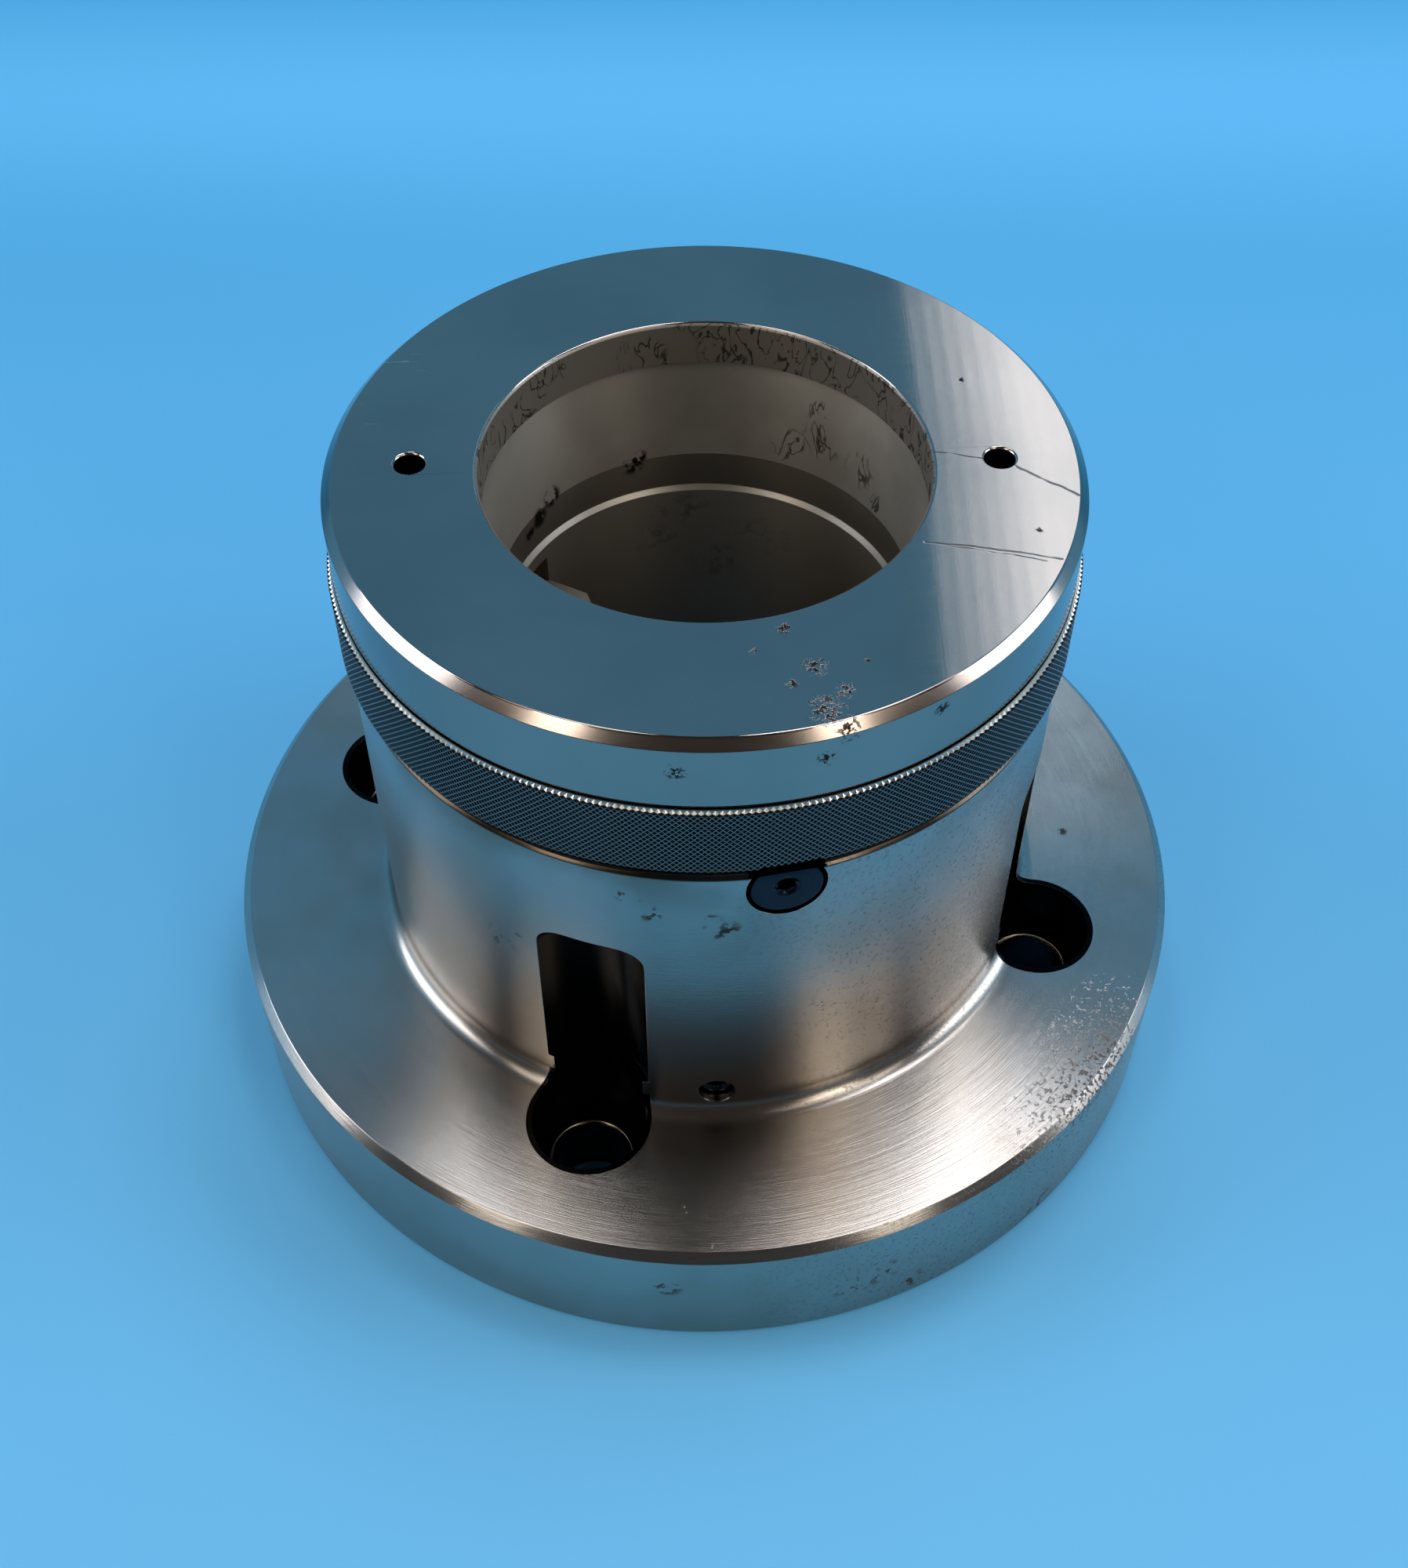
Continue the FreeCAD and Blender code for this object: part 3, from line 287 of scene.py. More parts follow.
    # tone of the painted shade in the seats, with the painted reflection and glint of their screw holes laid
    # over it
    seatShadeTone = layColours(add, look, linearColour(look["seat"]), (
        (cloudMask, "seatEdge"), (holeWallReflection, "seatHoleReflection"), (holeRimGlint, "seatRimGlint")))
    colour = add("Mix", {0: paintedShade, 6: colour, 7: seatShadeTone}, 2, **mixed)
    rough = add("Math", [cloud, 0.08, look["roughness"] - 0.06], operation="MULTIPLY_ADD")
    rough = add("Math", [ringBroad, 0.07, rough], operation="MULTIPLY_ADD")
    worn = strongest(add, [pits, marks, freckles])
    rough = add("Math", [worn, 0.2, rough], operation="MULTIPLY_ADD")
    bump = add("Bump", {"Height": lines, "Strength": 0.45, "Distance": 0.00004})
    hollow = add("Math", [1.0, pits], operation="SUBTRACT")
    bump = add("Bump", {"Height": hollow, "Strength": 0.4, "Distance": 0.00015, "Normal": bump})
    feedShader(shader, {"Base Color": colour, "Roughness": rough, "Normal": bump})
    runRound(shader, add, look["anisotropy"])
    return material


# Nose cap, ground alloy steel: a near mirror with hair scratches, rust specks, and a dull brown lip bore
# on which oil has dried
capSteelLook = {
    "colour": "#a6998f", "second": "#988e87", "lip": "#80786d", "dried": "#1d1a17", "rust": "#33231a",
    "nick": "#d9d4cc", "lipRadius": 36.9, "faceHeight": 125.0, "roughness": 0.055,
    "pinHoles": ((47.59, 0.83, 121.3), (-47.59, -0.83, 121.3)),
    "nickZones": (((-55, 24, 125), 9), ((-57, 14, 125), 7), ((-50, 33, 125), 6)),
    "scratches": (((36.9, 2.4, 125), (49.3, -0.5, 125), 0.2, 1.6),
                  ((49.3, -0.5, 125), (59.0, -8.5, 125), 0.35, 2.2),
                  ((34.0, -19.2, 125), (54.8, -23.1, 125), 0.28, 1.2),
                  ((38.0, -20.4, 125), (52.5, -23.6, 125), 0.16, 1.8)),
    "rustSpots": (((11.7, -38.2, 125), 2.0), ((7.0, -43.1, 125), 1.3), ((16.1, -46.3, 125), 3.0),
                  ((20.4, -51.0, 125), 2.4), ((17.4, -54.8, 125), 4.2), ((12.5, -49.5, 125), 1.6),
                  ((20.5, -57.3, 123.6), 3.0), ((-4.3, -61.6, 119.0), 2.6), ((17.5, -59.2, 119.5), 2.4),
                  ((34.5, -51.2, 121.5), 2.2), ((24.0, -45.0, 125), 1.0), ((43.0, 21.0, 125), 1.0),
                  ((52.0, -16.5, 125), 0.9)),
}


def makeCapSteel(look):
    material, shader, add, place = startMaterial("groundCapSteel")
    radius, turn, height = turnedPlace(add, place)
    cloud = add("TexNoise", {"Vector": place, "Scale": 30.0, "Detail": 4.0})
    mottle = add("TexNoise", {"Vector": place, "Scale": 1300.0, "Detail": 4.0, "Roughness": 0.6})
    # hair scratches in two directions; real ones are finer than this
    hairPlace = add("Mapping", {"Vector": place, "Scale": (1.0, 26.0, 1.0), "Rotation": (0, 0, 0.35)})
    hair = add("TexNoise", {"Vector": hairPlace, "Scale": 60.0, "Detail": 4.0, "Roughness": 0.7})
    crossPlace = add("Mapping", {"Vector": place, "Scale": (22.0, 1.0, 1.0), "Rotation": (0, 0, 0.2)})
    crossed = add("TexNoise", {"Vector": crossPlace, "Scale": 55.0, "Detail": 4.0, "Roughness": 0.7})
    rings = toolLines(add, height, turn, 0.004, 5000.0)
    scratches = strongest(add, [streak(add, place, *mark) for mark in look["scratches"]])
    rustZone = strongest(add, [near(add, place, spot, reach, reach * 0.2)
                               for spot, reach in look["rustSpots"]])
    grown = add("Math", [rustZone, 0.13, mottle], operation="MULTIPLY_ADD")
    specks = add("Math", [add("MapRange", [grown, 0.6, 0.66], **smooth), rustZone], **product)
    # short bright nicks on the left rim, all in one direction
    nickPlace = add("Mapping", {"Vector": place, "Scale": (1.0, 9.0, 1.0), "Rotation": (0, 0, -0.5)})
    nickLines = add("TexNoise", {"Vector": nickPlace, "Scale": 140.0, "Detail": 2.0})
    nickZone = strongest(add, [near(add, place, spot, reach, reach * 0.4)
                               for spot, reach in look["nickZones"]])
    nicks = add("Math", [nickZone, add("MapRange", [nickLines, 0.66, 0.7], **smooth)], **product)
    # the lip's bore: dried oil has drawn loops and runs on it
    inLip = add("MapRange", [radius, (look["lipRadius"] + 0.2) * mm, look["lipRadius"] * mm], **smooth)
    patches = add("TexNoise", {"Vector": place, "Scale": 75.0, "Detail": 2.0})
    loops = driedLoops(add, place, 250.0, 0.52, 0.035)
    runs = add("Math", [add("Math", [loops, add("MapRange", [patches, 0.46, 0.54], **smooth)], **product),
                        inLip], **product)
    # the pin holes are painted dark in the dried-oil colour, as shade inside them
    pinHoleShade = strongest(add, [near(add, place, hole, 3.95, 3.75) for hole in look["pinHoles"]])

    marks = add("Math", [add("Math", [scratches, 0.6], **product), specks], operation="MAXIMUM")
    tone = layColours(add, look, linearColour(look["colour"]), (
        (add("MapRange", [cloud, 0.3, 0.8], **smooth), "second"),
        (add("Math", [nicks, 0.7], **product), "nick"), (inLip, "lip"),
        (add("Math", [runs, 0.85], **product), "dried"), (marks, "rust"), (pinHoleShade, "dried")))
    rough = add("Math", [hair, 0.06, look["roughness"] - 0.05], operation="MULTIPLY_ADD")
    rough = add("Math", [cloud, 0.05, rough], operation="MULTIPLY_ADD")
    dull = add("Math", [marks, inLip], operation="MAXIMUM")
    rough = add("Math", [dull, 0.24, rough], operation="MULTIPLY_ADD")
    # the face is polished, and the chamfers and the band are only ground
    onFace = add("MapRange", [height, (look["faceHeight"] - 0.25) * mm, (look["faceHeight"] - 0.1) * mm],
                 **smooth)
    offFace = add("Math", [1.0, onFace], operation="SUBTRACT")
    rough = add("Math", [offFace, 0.12, rough], operation="MULTIPLY_ADD")
    faceLines = add("Math", [crossed, 0.7, hair], operation="MULTIPLY_ADD")
    lines = add("Mix", {0: onFace, 2: rings, 3: faceLines})
    bump = add("Bump", {"Height": lines, "Strength": 0.06, "Distance": 0.00003})
    hollow = add("Math", [1.0, marks], operation="SUBTRACT")
    bump = add("Bump", {"Height": hollow, "Strength": 0.2, "Distance": 0.00008, "Normal": bump})
    # the film in the lip halves its metal gloss
    filmed = add("Math", [1.0, add("Math", [inLip, 0.5], **product)], operation="SUBTRACT")
    feedShader(shader, {"Base Color": tone, "Roughness": rough, "Normal": bump, "Metallic": filmed})
    return material


# Knurl, rolled steel: worn tips, and near-black, rougher and less metallic over the valleys and flanks below
# them
knurlLook = {"tip": "#7d7d79", "valley": "#0c0e10", "lead": "#cfc9bd", "rustTone": "#5b4630",
             "valleyRadius": 62.575, "tipRadius": 62.598}


def makeKnurlSteel(look):
    material, shader, add, place = startMaterial("knurledSteel")
    radius, turn, height = turnedPlace(add, place)
    cloud = add("TexNoise", {"Vector": place, "Scale": 120.0})
    belowTips = add("MapRange", [radius, look["tipRadius"] * mm, look["valleyRadius"] * mm], **smooth)
    rusty = add("Math", [add("MapRange", [height, 0.0985, 0.0962], **smooth),
                         add("MapRange", [cloud, 0.4, 0.6], **smooth)], **product)
    lead = add("MapRange", [height, 0.11055, 0.11065], **smooth)
    colour = layColours(add, look, linearColour(look["tip"]), (
        (belowTips, "valley"), (add("Math", [rusty, 0.7], **product), "rustTone"), (lead, "lead")))
    belowTips = add("Math", [belowTips, add("Math", [1.0, lead], operation="SUBTRACT")], **product)
    rough = add("Math", [belowTips, 0.25, 0.3], operation="MULTIPLY_ADD")
    metal = add("Math", [belowTips, -0.5, 1.0], operation="MULTIPLY_ADD")
    feedShader(shader, {"Base Color": colour, "Roughness": rough, "Metallic": metal})
    shader.inputs["Specular IOR Level"].default_value = 0.25
    return material


# Sleeve and pusher, hardened and ground steel: bright taper, a brown oil film deeper in,
# and dried black marks
sleeveSteelLook = {
    "colour": "#c9c1b4", "second": "#ada497", "film": "#665e53", "deepFilm": "#877e72", "lead": "#b3ac9f",
    "mark": "#0d0c0b", "dried": "#34302a", "throatTop": 97.3, "throatFoot": 90.2, "leadFoot": 89.2,
    "roughness": 0.3, "anisotropy": 0.8,
    "loopZones": (((15.6, 32.4, 101.5), 4.5), ((21.5, 30.6, 104.5), 5.0), ((28.5, 24.4, 103.0), 4.5),
                  ((31.0, 19.0, 99.0), 3.0), ((20.0, 31.0, 110.0), 3.0)),
    "blots": (((-13.4, 32.9, 96.6), 2.6), ((-11.8, 33.3, 98.2), 1.6), ((-27.6, 22.4, 98.0), 2.6),
              ((-29.9, 19.3, 95.8), 2.6), ((-31.3, 16.5, 94.5), 1.8), ((28.6, 22.6, 106.0), 1.1)),
    "smudges": (((-4.0, 34.2, 84.0), 8.0), ((11.0, 32.7, 79.0), 7.0), ((-9.0, 33.3, 78.0), 6.0),
                ((2.0, 34.4, 72.0), 7.0)),
}


def makeSleeveSteel(look):
    material, shader, add, place = startMaterial("oiledSleeveSteel", metallic=0.75)
    radius, turn, height = turnedPlace(add, place)
    cloud = add("TexNoise", {"Vector": place, "Scale": 45.0, "Detail": 4.0})
    fine = add("TexNoise", {"Vector": place, "Scale": 420.0, "Detail": 3.0, "Roughness": 0.6})
    zone = strongest(add, [near(add, place, spot, reach, reach * 0.5)
                           for spot, reach in look["loopZones"]])
    runs = add("Math", [driedLoops(add, place, 190.0, 0.5, 0.04), zone], **product)
    blots = strongest(add, [near(add, place, spot, reach, reach * 0.5) for spot, reach in look["blots"]])
    blots = add("Math", [blots, add("MapRange", [fine, 0.44, 0.52], **smooth)], **product)
    smudge = strongest(add, [near(add, place, spot, reach) for spot, reach in look["smudges"]])
    smudge = add("Math", [smudge, add("MapRange", [fine, 0.48, 0.66], **smooth)], **product)
    below = add("MapRange", [height, (look["throatTop"] + 0.02) * mm, (look["throatTop"] - 0.02) * mm],
                **smooth)
    deep = add("MapRange", [height, (look["throatFoot"] + 0.05) * mm, (look["throatFoot"] - 0.05) * mm],
               **smooth)
    aboveFoot = add("MapRange", [height, (look["leadFoot"] - 0.05) * mm, (look["leadFoot"] + 0.1) * mm],
                    **smooth)
    lead = add("Math", [aboveFoot, add("MapRange", [height, 0.09012, 0.09006], **smooth)], **product)

    tone = layColours(add, look, linearColour(look["colour"]), (
        (add("MapRange", [cloud, 0.35, 0.7], **smooth), "second"), (below, "film"), (deep, "deepFilm"),
        (add("Math", [runs, 0.8], **product), "dried"), (add("Math", [smudge, 0.5], **product), "dried"),
        (lead, "lead"), (blots, "mark")))
    lines = toolLines(add, height, turn, 0.003, 6500.0, 3.0)
    bump = add("Bump", {"Height": lines, "Strength": 0.12, "Distance": 0.00003})
    rough = add("Math", [cloud, 0.12, look["roughness"] - 0.06], operation="MULTIPLY_ADD")
    rough = add("Math", [below, 0.12, rough], operation="MULTIPLY_ADD")
    feedShader(shader, {"Base Color": tone, "Roughness": rough, "Normal": bump})
    runRound(shader, add, look["anisotropy"])
    return material


# Small pieces: black oxide is a thin blue-black skin, spring and hardened steels are smooth and grey,
# the adapter is turned steel, the pads are dull yellow brass, and the seals are matt black nitrile rubber
smallLooks = {
    "blackOxide": {"colour": "#171b22", "second": "#20242c", "metallic": 0.9, "roughness": 0.24,
                   "grain": 900.0, "bump": 0.05},
    "springSteel": {"colour": "#6f6e6c", "second": "#4c4743", "metallic": 1.0, "roughness": 0.35,
                    "grain": 700.0, "bump": 0.06},
    "hardenedSteel": {"colour": "#a19b90", "second": "#7c7467", "metallic": 1.0, "roughness": 0.3,
                      "grain": 800.0, "bump": 0.05},
    "adapterSteel": {"colour": "#8f8a82", "second": "#6d655a", "metallic": 1.0, "roughness": 0.36,
                     "grain": 600.0, "bump": 0.08},
    "padBrass": {"colour": "#b8934a", "second": "#8f6f35", "metallic": 1.0, "roughness": 0.36,
                 "grain": 900.0, "bump": 0.05},
    "nitrileRubber": {"colour": "#141414", "second": "#232220", "metallic": 0.0, "roughness": 0.55,
                      "grain": 1500.0, "bump": 0.15},
}


def makeSmallFinish(name, look):
    material, shader, add, place = startMaterial(name, look["metallic"])
    cloud = add("TexNoise", {"Vector": place, "Scale": 90.0})
    grain = add("TexNoise", {"Vector": place, "Scale": look["grain"], "Detail": 4.0, "Roughness": 0.65})
    cloudMask = add("MapRange", [cloud, 0.35, 0.65], **smooth)
    colour = add("Mix", {0: cloudMask, 6: linearColour(look["colour"]), 7: linearColour(look["second"])}, 2,
                 **mixed)
    rough = add("Math", [grain, 0.14, look["roughness"] - 0.06], operation="MULTIPLY_ADD")
    bump = add("Bump", {"Height": grain, "Strength": look["bump"], "Distance": 0.00005})
    feedShader(shader, {"Base Color": colour, "Roughness": rough, "Normal": bump})
    return material


bodySteel = makeBodySteel(bodySteelLook)
capSteel = makeCapSteel(capSteelLook)
knurlSteel = makeKnurlSteel(knurlLook)
sleeveSteel = makeSleeveSteel(sleeveSteelLook)
finishes = {name: makeSmallFinish(name, look) for name, look in smallLooks.items()}
print("materials made")


# Modelling helpers, in millimetres
def clearSelection():
    if bpy.context.mode != "OBJECT":
        bpy.ops.object.mode_set(mode="OBJECT")
    bpy.ops.object.select_all(action="DESELECT")


def choose(piece):
    clearSelection()
    piece.select_set(True)
    bpy.context.view_layer.objects.active = piece


# Turns an outline about a line: extruded corner by corner from one vertex, then spun all the way round
def turnedPiece(name, outline, centre=(0, 0, 0), axis=(0, 0, 1), outwards=(1, 0, 0), steps=160, closed=True):
    centre, axis, outwards = Vector(centre) * mm, Vector(axis).normalized(), Vector(outwards).normalized()
    corners = [centre + outwards * (out * mm) + axis * (along * mm) for out, along in outline]
    clearSelection()
    bpy.ops.mesh.primitive_plane_add(size=0.001, location=corners[0])
    piece = bpy.context.object
    piece.name = name
    bpy.ops.object.transform_apply()
    bpy.ops.object.mode_set(mode="EDIT")
    bpy.ops.mesh.select_all(action="SELECT")
    bpy.ops.mesh.merge(type="CENTER")
    for start, end in zip(corners, corners[1:]):
        bpy.ops.mesh.extrude_vertices_move(TRANSFORM_OT_translate={"value": end - start})
    if closed:
        mesh = bmesh.from_edit_mesh(piece.data)
        mesh.verts.ensure_lookup_table()
        ends = [vertex for vertex in mesh.verts if len(vertex.link_edges) == 1]
        bpy.ops.mesh.select_all(action="DESELECT")
        for vertex in ends:
            vertex.select = True
        bmesh.update_edit_mesh(piece.data)
        bpy.ops.mesh.edge_face_add()
    bpy.ops.mesh.select_all(action="SELECT")
    bpy.ops.mesh.spin(steps=steps, angle=2 * math.pi, center=centre, axis=axis, use_auto_merge=True)
    bpy.ops.mesh.select_all(action="SELECT")
    bpy.ops.mesh.remove_doubles(threshold=0.000002)
    bpy.ops.mesh.dissolve_degenerate(threshold=0.000002)
    bpy.ops.mesh.select_all(action="SELECT")
    bpy.ops.mesh.normals_make_consistent(inside=False)
    bpy.ops.object.mode_set(mode="OBJECT")
    return piece


def applyModifier(piece, kind, **settings):
    modifier = piece.modifiers.new(kind.title(), kind)
    for name, value in settings.items():
        setattr(modifier, name, value)
    choose(piece)
    bpy.ops.object.modifier_apply(modifier=modifier.name)


def cutAway(piece, cutters, operation="DIFFERENCE"):
    for cutter in cutters:
        applyModifier(piece, "BOOLEAN", object=cutter, operation=operation, solver="EXACT")
        bpy.data.objects.remove(cutter)


def softenEdges(piece, width, angle=30, segments=2):
    applyModifier(piece, "BEVEL", width=width * mm, segments=segments, limit_method="ANGLE",
                  angle_limit=math.radians(angle), use_clamp_overlap=False, miter_outer="MITER_ARC")


def finishPiece(piece, material, body, nodes=(), smoothAngle=32):
    choose(piece)
    bpy.ops.object.shade_smooth_by_angle(angle=math.radians(smoothAngle))
    applyModifier(piece, "WEIGHTED_NORMAL", mode="FACE_AREA", weight=100, keep_sharp=True)
    piece.data.materials.clear()
    piece.data.materials.append(material)
    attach(piece, body)
    for node in nodes:
        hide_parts(node)
    return piece


def arc(centre, radius, fromAngle, toAngle, steps):
    points = []
    for step in range(steps + 1):
        angle = math.radians(fromAngle + (toAngle - fromAngle) * step / steps)
        points.append((centre[0] + radius * math.cos(angle), centre[1] + radius * math.sin(angle)))
    return points


# Direction that lies at an angle round the turning axis, counted from +X
def direction(angle):
    return Vector((math.cos(math.radians(angle)), math.sin(math.radians(angle)), 0))


# A block that stands across a direction, for slots and notches: corners are across and up, in millimetres
def blockAlong(name, angle, corners, start, end):
    out = direction(angle)
    side = Vector((-out.y, out.x, 0))
    up = Vector((0, 0, 1))
    clearSelection()
    bpy.ops.mesh.primitive_plane_add(size=0.001, location=out * (start * mm))
    piece = bpy.context.object
    piece.name = name
    bpy.ops.object.transform_apply()
    bpy.ops.object.mode_set(mode="EDIT")
    bpy.ops.mesh.select_all(action="SELECT")
    bpy.ops.mesh.merge(type="CENTER")
    places = [out * (start * mm) + side * (across * mm) + up * (height * mm) for across, height in corners]
    bpy.ops.transform.translate(value=places[0] - out * (start * mm))
    for first, second in zip(places, places[1:]):
        bpy.ops.mesh.extrude_vertices_move(TRANSFORM_OT_translate={"value": second - first})
    bpy.ops.mesh.select_all(action="SELECT")
    bpy.ops.mesh.edge_face_add()
    bpy.ops.mesh.extrude_region_move(TRANSFORM_OT_translate={"value": out * ((end - start) * mm)})
    bpy.ops.mesh.select_all(action="SELECT")
    bpy.ops.mesh.normals_make_consistent(inside=False)
    bpy.ops.object.mode_set(mode="OBJECT")
    return piece


def hexagonCorners(acrossFlats, height):
    reach = acrossFlats / math.sqrt(3)
    return [(reach * math.cos(math.radians(30 + 60 * step)),
             height + reach * math.sin(math.radians(30 + 60 * step)))
            for step in range(6)]


# Chuck body: flange, neck and nose, with its screw seats, lock pocket and screw hole
chuckBodySizes = {
    "flangeRadius": 91.0, "flangeTop": 27.5, "chamfer": 1.6, "neckRadius": 61.5, "fillet": 3.6,
    "neckTop": 94.2, "noseRoot": 53.3, "noseTop": 116.6, "bore": 47.0,
    "registerRadius": 53.1875, "registerTop": 51.31, "registerDepth": 15.0,
    "grooveRadius": 49.52, "grooves": ((48.65, 51.35), (103.25, 105.95)),
    "screwAngles": (252, 342, 72, 162), "screwCircle": 66.7,
    "lockAngle": 282, "lockHeight": 90.4, "guideAngle": 272, "guideHeight": 33.5, "buttonAngle": 297,
    "edge": 0.14,
}


def makeChuckBody(sizes):
    flange, neck = sizes["flangeRadius"], sizes["neckRadius"]
    top, fillet = sizes["flangeTop"], sizes["fillet"]
    outline = [(sizes["registerRadius"], 0), (flange - 0.5, 0), (flange, 0.5),
               (flange, top - sizes["chamfer"]), (flange - sizes["chamfer"], top)]
    outline += arc((neck + fillet, top + fillet), fillet, 270, 180, 14)
    outline += [(neck, sizes["neckTop"] - 0.5), (neck - 0.5, sizes["neckTop"]),
                (sizes["noseRoot"], sizes["neckTop"]),
                (sizes["noseRoot"], sizes["noseTop"] - 0.4), (sizes["noseRoot"] - 0.4, sizes["noseTop"]),
                (sizes["bore"] + 0.8, sizes["noseTop"]), (sizes["bore"], sizes["noseTop"] - 0.8)]
    for low, high in reversed(sizes["grooves"]):
        outline += [(sizes["bore"], high), (sizes["grooveRadius"], high), (sizes["grooveRadius"], low),
                    (sizes["bore"], low)]
    outline += [(sizes["bore"], sizes["registerDepth"]), (sizes["registerTop"], sizes["registerDepth"])]
    body = turnedPiece("chuckBody", outline, steps=240)
    cutters = []
    for angle in sizes["screwAngles"]:
        seat = [(0, -1), (7, -1), (7, 14.1), (7.4, 14.5), (10.1, 14.5), (10.1, 35.1), (11.1, 35.1),
                (11.1, 69.2)]
        seat += arc((6.6, 69.2), 4.5, 0, 90, 6)[1:] + [(0, 73.7)]
        cutters.append(turnedPiece("seatCutter", seat, centre=direction(angle) * sizes["screwCircle"],
                                   steps=72))
    lock = [(0, 49.8), (2.55, 49.8), (2.55, 57.2), (6.5, 57.2), (6.5, 62.6), (0, 62.6)]
    cutters.append(turnedPiece("lockCutter", lock, centre=(0, 0, sizes["lockHeight"]),
                               axis=direction(sizes["lockAngle"]), outwards=(0, 0, 1), steps=72))
    guide = [(0, 45.0), (3.25, 45.0), (3.25, 63.5), (0, 63.5)]
    cutters.append(turnedPiece("guideCutter", guide, centre=(0, 0, sizes["guideHeight"]),
                               axis=direction(sizes["guideAngle"]), outwards=(0, 0, 1), steps=48))
    button = [(0, -1), (9.6, -1), (9.6, 7.4), (9.0, 8), (0, 8)]
    cutters.append(turnedPiece("buttonCutter", button,
                               centre=direction(sizes["buttonAngle"]) * sizes["screwCircle"], steps=64))
    cutAway(body, cutters)
    softenEdges(body, sizes["edge"])
    return finishPiece(body, bodySteel, "housing", ["chuck_body"])


chuckBody = makeChuckBody(chuckBodySizes)
print("chuck body modelled:", len(chuckBody.data.polygons), "faces")


# Thread on the nose: one tooth drawn out along a rising spiral
noseThreadSizes = {"root": 53.2, "crest": 55.0, "low": 95.6, "pitch": 3.0, "turns": 7}


def makeNoseThread(sizes):
    root, crest, pitch = sizes["root"], sizes["crest"], sizes["pitch"]
    clearSelection()
    bpy.ops.mesh.primitive_plane_add(size=0.001, location=(root * mm, 0, sizes["low"] * mm))
    thread = bpy.context.object
    thread.name = "noseThread"
    bpy.ops.object.transform_apply()
    bpy.ops.object.mode_set(mode="EDIT")
    bpy.ops.mesh.select_all(action="SELECT")
    bpy.ops.mesh.merge(type="CENTER")
    tooth = [(root, 0), (crest, pitch * 0.38), (crest, pitch * 0.56), (root, pitch * 0.94),
             (root - 0.4, pitch * 0.94), (root - 0.4, 0)]
    for (first, low), (second, high) in zip(tooth, tooth[1:]):
        step = ((second - first) * mm, 0, (high - low) * mm)
        bpy.ops.mesh.extrude_vertices_move(TRANSFORM_OT_translate={"value": step})
    bpy.ops.mesh.select_all(action="SELECT")
    bpy.ops.mesh.edge_face_add()
    bpy.ops.object.mode_set(mode="OBJECT")
    applyModifier(thread, "SCREW", screw_offset=pitch * mm, iterations=sizes["turns"] - 1, steps=96,
                  render_steps=96, use_normal_calculate=True)
    choose(thread)
    bpy.ops.object.mode_set(mode="EDIT")
    bpy.ops.mesh.select_all(action="SELECT")
    bpy.ops.mesh.normals_make_consistent(inside=False)
    bpy.ops.object.mode_set(mode="OBJECT")
    return finishPiece(thread, bodySteel, "housing", ["chuck_body"])


noseThread = makeNoseThread(noseThreadSizes)
print("nose thread modelled:", len(noseThread.data.polygons), "faces")


# Nose cap: lip, plain band, undercut and skirt; the knurled band is its own ring of teeth
noseCapSizes = {
    "foot": 94.7, "top": 125.0, "band": 61.7, "core": 61.9, "chamfer": 1.6, "knurlFoot": 97.2,
    "knurlTop": 111.1, "undercut": 61.1, "undercutTop": 111.6, "bore": 36.7, "lipFoot": 116.7,
    "thread": 55.15, "grooveRadius": 57.67, "grooveLow": 111.55, "grooveHigh": 114.25,
    "pinAngles": (1, 181), "pinCircle": 47.6, "edge": 0.13, "skirtFoot": 60.1, "skirtChamfer": 1.8,
    "notchAngle": 282, "notchHalf": 4.6, "notchTop": 97.7,
}


def notchCutter(sizes):
    half, top, foot = sizes["notchHalf"], sizes["notchTop"], sizes["foot"] - 1
    corners = [(-half - 1, foot), (half + 1, foot), (half + 1, top - 1), (half, top), (-half, top),
               (-half - 1, top - 1)]
    return blockAlong("notchCutter", sizes["notchAngle"], corners, 54.2, 66)


def makeCapShell(sizes):
    top, band = sizes["top"], sizes["band"]
    outline = [(sizes["thread"], sizes["foot"]), (sizes["skirtFoot"], sizes["foot"]),
               (sizes["skirtFoot"] + sizes["skirtChamfer"], sizes["foot"] + sizes["skirtChamfer"]),
               (sizes["core"], sizes["knurlTop"]), (sizes["undercut"], sizes["knurlTop"]),
               (sizes["undercut"], sizes["undercutTop"]), (band, sizes["undercutTop"]),
               (band, top - sizes["chamfer"]), (band - sizes["chamfer"], top),
               (sizes["bore"] + 0.5, top), (sizes["bore"], top - 0.5), (sizes["bore"], sizes["lipFoot"]),
               (sizes["thread"], sizes["lipFoot"]), (sizes["thread"], sizes["grooveHigh"]),
               (sizes["grooveRadius"], sizes["grooveHigh"]), (sizes["grooveRadius"], sizes["grooveLow"]),
               (sizes["thread"], sizes["grooveLow"])]
    cap = turnedPiece("capShell", outline, steps=240)
    cutters = [notchCutter(sizes)]
    for angle in sizes["pinAngles"]:
        hole = [(0, 117.8), (2.5, 119.0), (2.5, 124.7), (3.1, 125.3), (0, 125.3)]
        cutters.append(turnedPiece("pinCutter", hole, centre=direction(angle) * sizes["pinCircle"], steps=48))
    cutAway(cap, cutters)
    softenEdges(cap, sizes["edge"])
    return finishPiece(cap, capSteel, "cap", ["nose_cap"])


knurlSizes = {
    "around": 738, "rows": 26, "valley": 62.25, "peak": 62.72, "tipFlat": 0.12,
    "inner": 61.5, "foot": 96.7, "top": 111.1, "lead": 0.6, "skirt": 62.6, "chamferTop": 97.2,
    "endRadius": 62.0,
}


